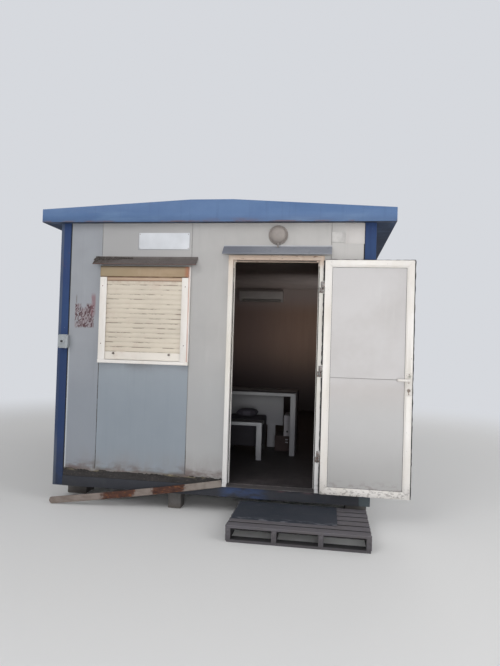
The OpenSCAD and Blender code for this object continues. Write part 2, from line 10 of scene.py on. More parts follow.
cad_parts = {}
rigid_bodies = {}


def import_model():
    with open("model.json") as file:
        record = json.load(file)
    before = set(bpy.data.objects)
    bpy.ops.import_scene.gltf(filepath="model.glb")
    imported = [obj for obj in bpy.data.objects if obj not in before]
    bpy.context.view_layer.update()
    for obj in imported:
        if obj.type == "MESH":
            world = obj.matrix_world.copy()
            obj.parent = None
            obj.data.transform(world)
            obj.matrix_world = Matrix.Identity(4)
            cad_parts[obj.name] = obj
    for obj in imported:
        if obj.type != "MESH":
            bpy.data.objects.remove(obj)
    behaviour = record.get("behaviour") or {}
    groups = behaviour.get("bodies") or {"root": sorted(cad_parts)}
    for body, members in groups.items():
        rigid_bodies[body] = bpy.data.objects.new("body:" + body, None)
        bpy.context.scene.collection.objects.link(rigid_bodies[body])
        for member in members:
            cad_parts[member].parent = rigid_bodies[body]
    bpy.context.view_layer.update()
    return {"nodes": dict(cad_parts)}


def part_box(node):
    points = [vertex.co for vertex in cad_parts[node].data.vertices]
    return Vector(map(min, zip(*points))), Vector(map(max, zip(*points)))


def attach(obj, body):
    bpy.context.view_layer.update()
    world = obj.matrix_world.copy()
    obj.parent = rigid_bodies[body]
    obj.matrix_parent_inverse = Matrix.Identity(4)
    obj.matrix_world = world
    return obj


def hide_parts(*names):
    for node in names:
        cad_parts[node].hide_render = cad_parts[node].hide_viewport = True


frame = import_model()
random.seed(11)

# The outer faces of the corner posts are what everything else is measured from.
postLow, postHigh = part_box("corner_posts")
leftX, rightX = postLow.x, postHigh.x
frontY, backY = postLow.y, postHigh.y
cabinWidth, cabinLength = rightX - leftX, backY - frontY
skinBack = 0.008  # how far the wall skin stands behind the posts
toFront = (0, -1, 0)


def spot(x, y, z):  # metres from the left front foot of the cabin
    return Vector((leftX + x, frontY + y, z))


# Modelling helpers


def clearSelection():
    if bpy.context.object and bpy.context.object.mode != "OBJECT":
        bpy.ops.object.mode_set(mode="OBJECT")
    for item in bpy.context.view_layer.objects:
        item.select_set(False)


def makeActive(piece):
    clearSelection()
    piece.select_set(True)
    bpy.context.view_layer.objects.active = piece


def bakePlace(piece, name):
    piece.name = name
    bpy.ops.object.transform_apply(location=True, rotation=True, scale=True)
    return piece


def block(name, low, high):  # between two opposite corners
    low, high = (Vector(corner) for corner in zip(*map(sorted, zip(low, high))))
    clearSelection()
    bpy.ops.mesh.primitive_cube_add(size=1, location=(low + high) / 2, scale=high - low)
    return bakePlace(bpy.context.object, name)


def rod(name, start, end, radius, sides, tip=None):
    start, end = Vector(start), Vector(end)
    turn = (end - start).to_track_quat("Z", "Y").to_euler()
    clearSelection()
    bpy.ops.mesh.primitive_cone_add(vertices=sides, radius1=radius, depth=(end - start).length,
                                    radius2=radius if tip is None else tip,
                                    location=(start + end) / 2, rotation=turn)
    return bakePlace(bpy.context.object, name)


def ball(name, centre, radii, sides):
    clearSelection()
    bpy.ops.mesh.primitive_uv_sphere_add(segments=sides, ring_count=sides // 2, radius=1,
                                         location=centre, scale=radii)
    return bakePlace(bpy.context.object, name)


def sheetGrid(name, columns, rows, thickness, placed):  # placed(u, v) gives each point of the sheet
    clearSelection()
    bpy.ops.mesh.primitive_grid_add(x_subdivisions=columns, y_subdivisions=rows, size=1)
    piece = bakePlace(bpy.context.object, name)
    for point in piece.data.vertices:
        point.co = placed(point.co.x + 0.5, point.co.y + 0.5)
    piece.data.update()
    return applied(piece, "SOLIDIFY", thickness=thickness, offset=0)


def applied(piece, kind, **settings):
    makeActive(piece)
    modifier = piece.modifiers.new(kind.lower(), kind)
    for key, value in settings.items():
        setattr(modifier, key, value)
    bpy.ops.object.modifier_apply(modifier=modifier.name)
    return piece


def smoothed(piece, angle=35):
    makeActive(piece)
    bpy.ops.object.shade_smooth_by_angle(angle=math.radians(angle))
    return piece


def rounded(piece, width, segments=2, angle=30):
    applied(piece, "BEVEL", width=width, segments=segments, limit_method="ANGLE",
            angle_limit=math.radians(angle), harden_normals=False)
    return smoothed(piece)


def editFaces(piece, chosen=lambda normal: True):  # edit mode, with only the chosen faces selected
    makeActive(piece)
    bpy.ops.object.mode_set(mode="EDIT")
    bpy.ops.mesh.select_mode(type="FACE")
    bpy.ops.mesh.select_all(action="DESELECT")
    mesh = bmesh.from_edit_mesh(piece.data)
    for face in mesh.faces:
        if chosen(face.normal):
            face.select_set(True)
    bmesh.update_edit_mesh(piece.data)


def closeEdit():
    bpy.ops.object.mode_set(mode="OBJECT")


def outwards(piece):
    editFaces(piece)
    bpy.ops.mesh.normals_make_consistent(inside=False)
    closeEdit()
    return piece


def insetPush(piece, direction, margin, push):  # on the faces that look in the direction
    editFaces(piece, lambda normal: normal.dot(direction) > 0.9)
    bpy.ops.mesh.inset(thickness=margin, depth=0)
    bpy.ops.transform.shrink_fatten(value=push)
    closeEdit()
    return piece


def opened(piece, axis, margin):  # turns a slab into a frame: both broad faces inset, then bridged
    editFaces(piece, lambda normal: abs(normal[axis]) > 0.9)
    bpy.ops.mesh.inset(thickness=margin, depth=0)
    bpy.ops.mesh.bridge_edge_loops()
    closeEdit()
    return piece


def subdivided(piece, cuts):
    editFaces(piece)
    bpy.ops.mesh.subdivide(number_cuts=cuts)
    closeEdit()
    return piece


def united(name, pieces):
    makeActive(pieces[0])
    for piece in pieces:
        piece.select_set(True)
    if len(pieces) > 1:
        bpy.ops.object.join()
    joined = bpy.context.object
    joined.name = name
    return joined


def copied(name, model, places):  # the model is set down at each place, and the copies are joined
    copies = []
    for place in places:
        piece = bpy.data.objects.new(name, model.data.copy())
        bpy.context.scene.collection.objects.link(piece)
        piece.data.transform(place if isinstance(place, Matrix) else Matrix.Translation(place))
        copies.append(piece)
    bpy.data.objects.remove(model)
    return united(name, copies)


def shaken(piece, amount, size, seed, test=None):  # smooth noise along the normals
    shift = Vector((seed * 3.1, seed * 1.7, seed * 2.3))
    for point in piece.data.vertices:
        if test is None or test(point.co):
            point.co += point.normal * amount * noise.noise(point.co / size + shift)
    piece.data.update()
    return piece


def wornCopy(node, width):  # a copy of a CAD node with rounded edges
    piece = bpy.data.objects.new(node + "_worn", frame["nodes"][node].data.copy())
    bpy.context.scene.collection.objects.link(piece)
    makeActive(piece)
    if piece.data.has_custom_normals:
        bpy.ops.mesh.customdata_custom_splitnormals_clear()
    editFaces(piece)
    bpy.ops.mesh.remove_doubles(threshold=0.00005)
    bpy.ops.mesh.dissolve_limited(angle_limit=math.radians(0.4))
    closeEdit()
    return rounded(piece, width)


def looseBoxes(node):  # lowest and highest corners of each separate solid in a CAD node
    mesh = bmesh.new()
    mesh.from_mesh(frame["nodes"][node].data)
    bmesh.ops.remove_doubles(mesh, verts=mesh.verts, dist=0.00005)
    left = set(mesh.verts)
    boxes = []
    while left:
        reach = [left.pop()]
        found = []
        while reach:
            point = reach.pop()
            found.append(point.co.copy())
            for edge in point.link_edges:
                other = edge.other_vert(point)
                if other in left:
                    left.remove(other)
                    reach.append(other)
        boxes.append((Vector([min(p[i] for p in found) for i in range(3)]),
                      Vector([max(p[i] for p in found) for i in range(3)])))
    mesh.free()
    return sorted(boxes, key=lambda box: tuple(round(v, 4) for v in box[0]))


def settled(piece, body, paintName, slot, *nodes):
    piece.data.materials.clear()
    piece.data.materials.append(bpy.data.materials[paintName])
    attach(piece, body)
    if nodes:
        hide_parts(*nodes)


def dressed(node, paintName):
    piece = frame["nodes"][node]
    if piece.material_slots:
        piece.material_slots[0].material = bpy.data.materials[paintName]
    else:
        piece.data.materials.append(bpy.data.materials[paintName])


def screwHead(direction, radius, height):
    direction = Vector(direction)
    head = rod("screw", direction * -0.0006, direction * height, radius, 14, radius * 0.7)
    return smoothed(insetPush(head, direction, radius * 0.28, -height * 0.5), 50)


def screws(name, places, direction=toFront, radius=0.004, height=0.0015, body="cabin"):
    settled(copied(name, screwHead(direction, radius, height), places), body, "rustySteel", "hinge_steel")


def rubbery(piece, body="cabin"):
    settled(piece, body, "rubberBlack", "mat_dark")


def wobble(x, y=0, z=0):
    return noise.noise(Vector((x, y, z)))


# Material helpers. The paint being mixed gathers one material's nodes.

paint = {}


def linear(value):
    return value / 12.92 if value <= 0.04045 else ((value + 0.055) / 1.055) ** 2.4


def tone(red, green, blue):
    return (linear(red), linear(green), linear(blue), 1.0)


def startPaint(name, colour, rough, metal=0.0, **sockets):
    material = bpy.data.materials.new(name)
    material.use_nodes = True
    nodes = material.node_tree.nodes
    shader = nodes["Principled BSDF"]
    shader.inputs["Base Color"].default_value = tone(*colour)
    shader.inputs["Roughness"].default_value = rough
    shader.inputs["Metallic"].default_value = metal
    for key, value in sockets.items():
        shader.inputs[key.replace("_", " ")].default_value = value
    paint.clear()
    paint.update(material=material, nodes=nodes, links=material.node_tree.links, shader=shader, rough=rough,
                 colour=tone(*colour), place=nodes.new("ShaderNodeTexCoord").outputs["Object"])


def addNode(kind, inputs, **settings):
    node = paint["nodes"].new(kind)
    for key, value in settings.items():
        setattr(node, key, value)
    for key, value in inputs.items():
        if isinstance(value, bpy.types.NodeSocket):
            paint["links"].new(value, node.inputs[key])
        else:
            node.inputs[key].default_value = value
    return node


def ramped(value, start, end):
    ramp = addNode("ShaderNodeMapRange",
                   {"Value": value, "From Min": start, "From Max": end},
                   interpolation_type="SMOOTHSTEP")
    return ramp.outputs["Result"]


# Noise with patches of about this size, in metres; stretch makes them longer along an axis.
def mottled(size, start, end, stretch=(1, 1, 1), detail=4, seed=0.0):
    scale = [1 / (size * s) for s in stretch]
    spread = addNode("ShaderNodeMapping",
                     {"Vector": paint["place"], "Scale": scale, "Location": (seed, seed * 0.7, seed * 1.3)})
    cloud = addNode("ShaderNodeTexNoise",
                    {"Vector": spread.outputs[0], "Scale": 1.0, "Detail": detail, "Roughness": 0.6})
    return ramped(cloud.outputs["Fac"], start, end)


def axisValue(axis):
    if "axes" not in paint:
        paint["axes"] = addNode("ShaderNodeSeparateXYZ", {0: paint["place"]}).outputs
    return paint["axes"]["XYZ".index(axis)]


def along(axis, start, end):  # goes from 0 to 1 between two places on an axis
    return ramped(axisValue(axis), start, end)


def maths(operation, first, second=0.0):
    return addNode("ShaderNodeMath", {0: first, 1: second}, operation=operation).outputs[0]


def times(*masks):
    result = masks[0]
    for mask in masks[1:]:
        result = maths("MULTIPLY", result, mask)
    return result


def most(first, second):
    return maths("MAXIMUM", first, second)


def within(axis, low, high, edge):
    return times(along(axis, low - edge, low + edge), along(axis, high + edge, high - edge))


def lines(axis, start, pitch, width):  # 1 in a thin line at every pitch along an axis
    step = maths("DIVIDE", maths("SUBTRACT", axisValue(axis), start), pitch)
    away = maths("PINGPONG", step, 0.5)
    return ramped(away, width / pitch, width / pitch * 0.3)


def disc(x, z, radius, edge=0.004):  # 1 inside a circle on an upright face
    across = maths("SUBTRACT", axisValue("X"), x)
    up = maths("SUBTRACT", axisValue("Z"), z)
    squares = maths("ADD", times(across, across), times(up, up))
    return ramped(maths("SQRT", squares), radius + edge, radius - edge)


# Lays another colour, and perhaps roughness, over the paint where the mask, or each of several, is 1.
def overlay(colour, mask, amount=1.0, rough=None):
    factor = times(*mask) if isinstance(mask, tuple) else mask
    if amount != 1.0:
        factor = times(factor, amount)
    mix = addNode("ShaderNodeMix", {0: factor, 6: paint["colour"], 7: tone(*colour)}, data_type="RGBA")
    paint["colour"] = mix.outputs[2]
    paint["links"].new(mix.outputs[2], paint["shader"].inputs["Base Color"])
    if rough is not None:
        blend = addNode("ShaderNodeMix", {0: factor, 2: paint["rough"], 3: rough}, data_type="FLOAT")
        paint["rough"] = blend.outputs[0]
        paint["links"].new(blend.outputs[0], paint["shader"].inputs["Roughness"])


def relief(height, depth, strength):
    inputs = {"Height": height, "Distance": depth, "Strength": strength}
    if "normal" in paint:
        inputs["Normal"] = paint["normal"]
    paint["normal"] = addNode("ShaderNodeBump", inputs).outputs[0]
    paint["links"].new(paint["normal"], paint["shader"].inputs["Normal"])


def grain(size, detail, depth, strength):
    relief(mottled(size, 0.3, 0.7, detail=detail), depth, strength)


def waves(size, depth):  # a sheet is never quite flat
    relief(mottled(size, 0.2, 0.8, detail=1), depth, 0.3)


def unmetal(mask):  # rust and dirt aren't metallic
    paint["links"].new(maths("SUBTRACT", 1.0, mask), paint["shader"].inputs["Metallic"])


def shade(colour, factor):
    return [min(1.0, c * factor) for c in colour]


# Camera, fitted to the photograph: place in metres, turns in radians

camera = {"place": (1.027, -7.630, 1.564), "yaw": 0.146, "pitch": 0.0205, "roll": 0.030,
          "focalPixels": 543.6, "imageHeight": 666}


def placeCamera():
    yaw, pitch, roll = camera["yaw"], camera["pitch"], camera["roll"]
    right = Vector((math.cos(yaw), math.sin(yaw), 0))
    ahead = Vector((-math.sin(yaw), math.cos(yaw), 0))
    top = Vector((0, 0, 1)) * math.cos(pitch) - ahead * math.sin(pitch)
    ahead = ahead * math.cos(pitch) + Vector((0, 0, 1)) * math.sin(pitch)
    sideways = right * math.cos(roll) + top * math.sin(roll)
    upwards = top * math.cos(roll) - right * math.sin(roll)
    clearSelection()
    bpy.ops.object.camera_add()
    view = bpy.context.object
    turn = Matrix((sideways, upwards, -ahead)).transposed()
    view.matrix_world = Matrix.Translation(camera["place"]) @ turn.to_4x4()
    view.data.sensor_fit = "VERTICAL"
    view.data.sensor_height = 36
    view.data.lens = camera["focalPixels"] * 36 / camera["imageHeight"]
    view.data.clip_end = 300
    bpy.context.scene.camera = view


placeCamera()
print("camera placed")

# Light and floor. The floor fades into the backdrop away from the cabin.

studio = {"backdrop": (0.84, 0.85, 0.87), "ambient": 0.43, "floorColour": (0.90, 0.90, 0.90),
          "fadeStart": 4.2, "fadeEnd": 9.0}
lamps = {"keyLight": {"place": (-5.0, -11, 8.5), "target": (0, -1.5, 1.4), "size": 6, "power": 300},
         "doorLight": {"place": (1.7, -11.5, 1.8), "target": (0.5, 2.0, 1.2), "size": 3.0, "power": 290},
         "sideLight": {"place": (9, -6, 6), "target": (0, 0, 1.4), "size": 6, "power": 250},
         "backLight": {"place": (3, 12, 8), "target": (0, 2, 1.5), "size": 7, "power": 420},
         "roomLight": {"place": (1.12, 1.2, 0.9), "target": (0.7, 3.0, 2.6), "size": 0.4, "power": 3.9,
                       "spread": 115}}


def addLamp(name, lampSet):
    place = Vector(lampSet["place"])
    clearSelection()
    bpy.ops.object.light_add(type="AREA", location=place)
    lamp = bpy.context.object
    lamp.name = name
    lamp.rotation_euler = (Vector(lampSet["target"]) - place).to_track_quat("-Z", "Y").to_euler()
    lamp.data.size = lampSet["size"]
    lamp.data.energy = lampSet["power"]
    lamp.data.spread = math.radians(lampSet.get("spread", 180))
    lamp.visible_camera = False


def seenDirectly(tree):  # 1 for camera, glossy and transmission rays
    rays = tree.nodes.new("ShaderNodeLightPath")
    seen = rays.outputs["Is Camera Ray"]
    for other in ("Is Glossy Ray", "Is Transmission Ray"):
        joiner = tree.nodes.new("ShaderNodeMath")
        joiner.operation = "MAXIMUM"
        tree.links.new(seen, joiner.inputs[0])
        tree.links.new(rays.outputs[other], joiner.inputs[1])
        seen = joiner.outputs[0]
    return seen


def mixedShader(tree, factor, first, second, output):
    choice = tree.nodes.new("ShaderNodeMixShader")
    tree.links.new(factor, choice.inputs[0])
    tree.links.new(first, choice.inputs[1])
    tree.links.new(second, choice.inputs[2])
    tree.links.new(choice.outputs[0], output)


def buildStudio():
    world = bpy.data.worlds.new("studio")
    bpy.context.scene.world = world
    world.use_nodes = True
    nodes = world.node_tree.nodes
    nodes["Background"].inputs["Color"].default_value = (1, 1, 1, 1)
    nodes["Background"].inputs["Strength"].default_value = studio["ambient"]
    seen = nodes.new("ShaderNodeBackground")
    seen.inputs["Color"].default_value = tone(*studio["backdrop"])
    mixedShader(world.node_tree, seenDirectly(world.node_tree), nodes["Background"].outputs[0],
                seen.outputs[0], nodes["World Output"].inputs["Surface"])
    for name, lampSet in lamps.items():
        addLamp(name, lampSet)
    clearSelection()
    bpy.ops.mesh.primitive_plane_add(size=200)
    floor = bakePlace(bpy.context.object, "studio_floor")
    startPaint("floorPaint", studio["floorColour"], 0.9)
    tree = paint["material"].node_tree
    glow = addNode("ShaderNodeEmission", {"Color": tone(*studio["backdrop"])})
    distance = addNode("ShaderNodeVectorMath", {0: paint["place"]}, operation="LENGTH").outputs["Value"]
    far = ramped(distance, studio["fadeStart"], studio["fadeEnd"])
    mixedShader(tree, times(far, seenDirectly(tree)), paint["shader"].outputs[0],
                glow.outputs[0], tree.nodes["Material Output"].inputs["Surface"])
    floor.data.materials.append(paint["material"])
    bpy.context.scene.view_settings.view_transform = "Standard"


buildStudio()
print("studio built")

# Finishes

dirt = (0.31, 0.28, 0.25)
dust = (0.50, 0.47, 0.45)
rustDark = (0.27, 0.15, 0.10)
rustOrange = (0.50, 0.27, 0.15)


# Old blue paint: faded, streaked, dusty near the ground and rusty in spots
def bluePaint(name, base, faded, rust, rough=0.5):
    startPaint(name, base, rough)
    overlay(faded, mottled(0.55, 0.35, 0.7, (1, 1, 0.6)), 0.8, rough + 0.1)
    overlay(shade(base, 0.75), mottled(0.05, 0.52, 0.8, (1, 1, 14)), 0.35)
    overlay((0.60, 0.64, 0.68), mottled(0.012, 0.70, 0.76, (1, 1, 2)), 0.4)
    fine = mottled(0.03, 0.5, 0.72, detail=7, seed=4)
    low = along("Z", 0.75, 0.2)
    overlay((0.14, 0.165, 0.215), (low, mottled(0.2, 0.15, 0.55, detail=6)), 0.85, 0.9)
    rusty = times(fine, mottled(0.4, rust, rust + 0.16, seed=9))
    overlay(rustOrange, rusty, 0.7, 0.9)
    overlay(rustDark, (rusty, mottled(0.015, 0.45, 0.6, seed=2)), 0.9, 0.95)
    grain(0.006, 3, 0.0004, 0.5)
    relief(rusty, 0.0008, 0.7)


# The outer strip of the left posts is paler grey in patches, painted shade darkens the posts between about
# 0.6 and 1.55 m up, and the foot of the right one is dusty.
bluePaint("steelBlue", (0.11, 0.205, 0.38), (0.155, 0.255, 0.415), 0.62, 0.75)
edge = along("X", leftX + 0.036, leftX + 0.026)
overlay((0.33, 0.36, 0.41), (edge, mottled(0.08, 0.2, 0.6, (1, 1, 4))), 0.7)
# painted shade: the posts darker between about 0.6 and 1.55 m up
overlay((0.075, 0.17, 0.325), within("Z", 0.62, 1.55, 0.13), 0.7)
toe = times(along("X", rightX - 0.3, rightX - 0.2), along("Z", 0.245, 0.225),
            along("Y", frontY + 0.4, frontY + 0.3))
overlay((0.31, 0.34, 0.35), toe, 0.85)

bluePaint("fasciaBlue", (0.285, 0.40, 0.565), (0.34, 0.45, 0.605), 0.68)
# painted shade: the fascia darker towards its lower edge
overlay((0.25, 0.355, 0.505), along("Z", 2.76, 2.70), 0.6)
ends = most(along("Y", frontY - 0.054, frontY - 0.056), along("Y", backY + 0.054, backY + 0.056))
edge = times(along("Z", 2.705, 2.688), mottled(0.12, 0.45, 0.62, (1.5, 1, 1), 6, 3.0))
overlay((0.42, 0.33, 0.31), (edge, ends), 0.75, 0.8)
stain = times(along("Z", 2.730, 2.698), within("X", leftX + 1.50, leftX + 1.92, 0.14),
              mottled(0.10, 0.28, 0.58, (2, 1, 1), 5, 4.0))
overlay((0.395, 0.335, 0.375), (stain, ends), 0.7, 0.8)
# painted shade on the underside of the eaves, in patches
shadeBelow = times(along("Z", 2.6855, 2.6845), mottled(0.3, 0.1, 0.5, (1, 2, 1), 5, 8.0))
overlay((0.16, 0.18, 0.25), shadeBelow, 0.85, 0.8)
overlay((0.42, 0.53, 0.66), mottled(0.35, 0.5, 0.8, (2, 1, 0.3), 5, 6.0), 0.45)

# Dusty, with worn blue at the doorway and a red primer patch right of it
bluePaint("railBlue", (0.145, 0.165, 0.205), (0.185, 0.19, 0.215), 0.68)
overlay((0.18, 0.18, 0.195), mottled(0.15, 0.2, 0.5, (2, 1, 1)), 0.7)
front = along("Y", frontY + 0.4, frontY + 0.3)
overlay((0.20, 0.28, 0.44), (front, within("X", leftX + 1.68, leftX + 2.05, 0.08),
                             mottled(0.08, 0.35, 0.6, (3, 1, 1))), 0.7)
top = times(front, along("Z", 0.225, 0.238))
overlay((0.37, 0.26, 0.29), (top, within("X", leftX + 2.18, leftX + 2.50, 0.05),
                             mottled(0.05, 0.4, 0.6, (3, 1, 1))), 0.75)


# Coated steel skin outside, brown board lining inside. Painted shade darkens the skin under the eaves and
# towards the ground, and the front of the panel grey towards its left; the lining is darker towards the left,
# painted shade darkens it towards the floor, and painted light brightens it near the ceiling.
def panelPaint(name, base):
    startPaint(name, base, 0.46)
    overlay(shade(base, 0.90), mottled(0.9, 0.35, 0.7), 0.8)
    overlay(shade(base, 0.86), mottled(0.045, 0.5, 0.9, (1, 1, 18), 5), 0.5, 0.6)
    overlay(shade(base, 1.07), mottled(0.06, 0.56, 0.8, (1, 1, 9), 5, 5.0), 0.5)
    # painted shade under the eaves, broken into patches
    top = along("Z", 2.50, 2.69)
    overlay(shade(base, 0.78), (top, mottled(0.12, 0.3, 0.75, (1, 1, 4))), 0.2)
    # painted shade: cooler and darker towards the ground
    overlay((base[0] * 0.83, base[1] * 0.86, base[2] * 0.89), along("Z", 1.7, 0.9), 0.65)
    front = along("Y", frontY + 0.05, frontY + 0.03)
    # painted shade: the front of the panel grey duller towards its left
    if name == "panelGrey":  # duller towards the left of the front
        duller = times(front, along("X", leftX + 2.15, leftX + 0.6))
        overlay((base[0] * 0.86, base[1] * 0.87, base[2] * 0.885), duller, 0.9)
    foot = along("Z", 0.60, 0.33)
    overlay(dust, (foot, mottled(0.2, 0.3, 0.75, (1, 1, 2.5), 6)), 0.6, 0.8)
    soil = along("Z", 0.365, 0.325)
    overlay(dirt, (soil, mottled(0.09, 0.30, 0.65, (2, 1, 1), 5, 3.0)), 0.75, 0.9)
    blots = times(along("Z", 0.435, 0.335), mottled(0.08, 0.40, 0.64, (2, 1, 1), 6, 14.0))
    overlay((0.385, 0.325, 0.315), (blots, along("Y", frontY + 0.05, frontY + 0.02)), 0.8, 0.9)
    waves(0.5, 0.004)
    grain(0.005, 2, 0.0002, 0.4)
    inside = times(within("X", leftX + 0.055, rightX - 0.055, 0.003),
                   within("Y", frontY + 0.055, backY - 0.055, 0.003))
    overlay((0.61, 0.50, 0.435), inside, 1.0, 0.8)
    overlay((0.55, 0.445, 0.395), (inside, mottled(0.09, 0.3, 0.8, (1, 1, 9), 3, 8.0)), 0.5)
    # the lining darker towards the left
    overlay((0.47, 0.40, 0.385), (inside, along("X", leftX + 2.1, leftX + 0.9)), 0.7)
    # painted shade: the lining darker towards the floor
    overlay((0.25, 0.235, 0.25), (inside, along("Z", 1.75, 0.5)), 0.9)
    # painted light: the lining lighter near the ceiling
    overlay((0.66, 0.62, 0.61), (inside, along("Z", 2.15, 2.65)), 0.7)
    return name


# The bluer panel under the window, darker in patches below the sill: painted shade under the sill, with a
# smudge
panelPaint("panelBlue", (0.575, 0.60, 0.625))
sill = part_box("window_sill")[0].z
# painted shade and smudging below the sill
below = along("Z", sill - 0.11, sill)
overlay((0.44, 0.44, 0.45), (below, mottled(0.15, 0.35, 0.7, (2, 1, 1), 5, 4.0)), 0.55)

# The left panel, painted darker than the panel grey as painted shade, also has a faded red smear, and dirt
# where it meets its neighbour's foot.
# painted shade: a darker base than the panel grey
panelPaint("smearedGrey", (0.578, 0.59, 0.612))
patch = times(within("X", leftX + 0.166, leftX + 0.358, 0.006), within("Z", 1.68, 1.905, 0.012),
              maths("SUBTRACT", 1.0, disc(leftX + 0.252, 1.895, 0.030, 0.014)))
dabs = mottled(0.07, 0.36, 0.50, (1, 1, 1.3), 4, 12.0)
overlay((0.50, 0.405, 0.415), (patch, dabs), 0.5)
scrawl = maths("PINGPONG", mottled(0.11, 0.2, 0.8, (0.8, 1, 1.3), 2, 3.0), 0.13)
strokes = times(patch, ramped(scrawl, 0.075, 0.035), mottled(0.05, 0.36, 0.46, (1, 1, 1.3), 5, 17.0))
overlay((0.27, 0.13, 0.155), strokes, 0.92)
stroke = times(within("X", leftX + 0.328, leftX + 0.37, 0.012), within("Z", 1.80, 1.995, 0.03))
overlay((0.49, 0.335, 0.36), (stroke, mottled(0.04, 0.3, 0.55, (1, 1, 3), 5)), 0.75)
tail = times(within("X", leftX + 0.172, leftX + 0.182, 0.004), within("Z", 1.91, 1.985, 0.02))
overlay((0.38, 0.34, 0.345), tail, 0.7)
edge = times(within("X", leftX + 0.10, leftX + 0.122, 0.004), along("Z", 1.62, 1.5))
overlay((0.76, 0.78, 0.80), edge, 0.6)
joint = times(along("X", leftX + 0.385, leftX + 0.42), along("Z", 0.50, 0.34))
overlay(dirt, (joint, mottled(0.03, 0.3, 0.6, (1, 1, 3), 6, 4.0)), 0.8, 0.9)


# White coating, a little yellowed, with streaks of grime and a few chips
def whitePaint(name, base, chips=0.70, grime=0.25):
    startPaint(name, base, 0.38)
    overlay((base[0] * 0.93, base[1] * 0.91, base[2] * 0.87), mottled(0.25, 0.35, 0.75, (1, 1, 2)), 0.6)
    overlay((0.60, 0.57, 0.53), mottled(0.03, 0.55, 0.85, (1, 1, 9), 6, 2.0), grime, 0.6)
    low = along("Z", 0.42, 0.24)
    overlay((0.66, 0.65, 0.64), low, 0.5)
    overlay((0.38, 0.36, 0.35), (low, mottled(0.016, 0.50, 0.62, (2, 1, 1), 6, 6.0)), 0.7, 0.8)
    chip = mottled(0.011, chips, chips + 0.03, (1, 1, 1.6), 4, 3.0)
    overlay((0.40, 0.37, 0.35), chip, 0.7, 0.75)
    relief(chip, -0.0003, 0.8)
    grain(0.004, 2, 0.0001, 0.3)


# A pink run of rust down the outer edge of the right guide
whitePaint("guideWhite", (0.875, 0.86, 0.845))
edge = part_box("shutter_guides")[1].x
run = times(within("X", edge - 0.017, edge - 0.007, 0.003), mottled(0.05, 0.15, 0.5, (1, 1, 6), 5, 3.0))
overlay((0.74, 0.56, 0.50), run, 0.75)


def plainPaint(name, base, rough, size=0.08, contrast=0.86, grime=0.4):
    startPaint(name, base, rough)
    overlay(shade(base, contrast), mottled(size, 0.35, 0.7, detail=5), 0.8, min(1, rough + 0.12))
    spotted = mottled(size * 0.18, 0.62, 0.74, detail=6, seed=6)
    overlay(shade(base, contrast * 0.7), spotted, grime, 0.8)
    grain(size * 0.06, 3, 0.0002, 0.4)
    return name


# A painted shadow line round its edge
plainPaint("signWhite", (0.80, 0.81, 0.83), 0.35, size=0.15, contrast=0.95, grime=0.15)
low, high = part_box("sign_plate")
signInside = times(within("X", low.x + 0.005, high.x - 0.003, 0.002),
              within("Z", low.z + 0.005, high.z - 0.002, 0.002))
# painted shadow round the plate's edge
overlay((0.42, 0.41, 0.43), maths("SUBTRACT", 1.0, signInside), 0.75)

# Close to the colour of the panels over the window and to the right of it
plainPaint("jointDark", (0.31, 0.30, 0.295), 0.8, size=0.04)
front = along("Y", frontY + 0.05, frontY + 0.03)
faint = most(along("Z", 2.2, 2.3), times(along("X", leftX + 1.2, leftX + 1.25), along("Z", 0.5, 0.7)))
overlay((0.575, 0.57, 0.565), (front, faint), 0.9)

# Lock plates, worn off round the handle and rusty round the keyhole
lock = {"keyRise": 0.047, "handleDrop": 0.065, "keyRadius": 0.0085, "screwInset": 0.014, "latchDrop": 0.016}
whitePaint("lockWhite", (0.83, 0.815, 0.80), 0.62, 0.4)
low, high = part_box("lock_plates")
middle, keyZ, handleZ = (low.x + high.x) / 2, low.z + lock["keyRise"], high.z - lock["handleDrop"]
ragged = mottled(0.014, 0.25, 0.55, detail=6)
for x, z, radius, colour in ((middle, keyZ, 0.0145, (0.30, 0.19, 0.15)),
                             (middle - 0.005, keyZ - 0.014, 0.006, rustDark),
                             (middle + 0.005, handleZ + 0.033, 0.012, (0.53, 0.54, 0.50)),
                             (middle, handleZ, 0.014, (0.48, 0.45, 0.42)),
                             (middle - 0.002, handleZ - 0.025, 0.004, (0.45, 0.33, 0.27))):
    overlay(colour, (disc(x, z, radius), ragged), 0.85, 0.85)
drip = times(within("X", middle - 0.005, middle + 0.004, 0.003), within("Z", keyZ - 0.040, keyZ, 0.006))
overlay(rustOrange, (drip, mottled(0.012, 0.4, 0.6, (1, 1, 4), 5)), 0.6, 0.8)

# Door frame, stained peach and brown along its head and down its upper corners
whitePaint("stainedHead", (0.86, 0.845, 0.82))
head = along("Z", 2.25, 2.345)
overlay((0.76, 0.665, 0.59), (head, mottled(0.08, 0.15, 0.5, (2, 1, 1), 5)), 0.9, 0.5)
corner = times(along("Z", 1.85, 2.3), along("X", leftX + 1.80, leftX + 1.70))
overlay((0.80, 0.74, 0.68), (corner, mottled(0.06, 0.3, 0.6, (1, 1, 5))), 0.7)
sill = times(along("Z", 0.285, 0.275), within("X", leftX + 1.705, leftX + 2.507, 0.004))
overlay((0.78, 0.785, 0.81), along("Z", 1.4, 0.5), 0.5)
overlay((0.23, 0.21, 0.215), (sill, mottled(0.10, 0.10, 0.38, (2, 1, 1), 6, 2.0)), 0.95, 0.85)
marks = times(head, mottled(0.02, 0.60, 0.68, (3, 1, 1), 5, 1.5))
overlay((0.42, 0.30, 0.23), marks, 0.8)
overlay((0.92, 0.89, 0.84), (head, mottled(0.03, 0.60, 0.72, (2, 1, 1), 5, 7.0)), 0.7)


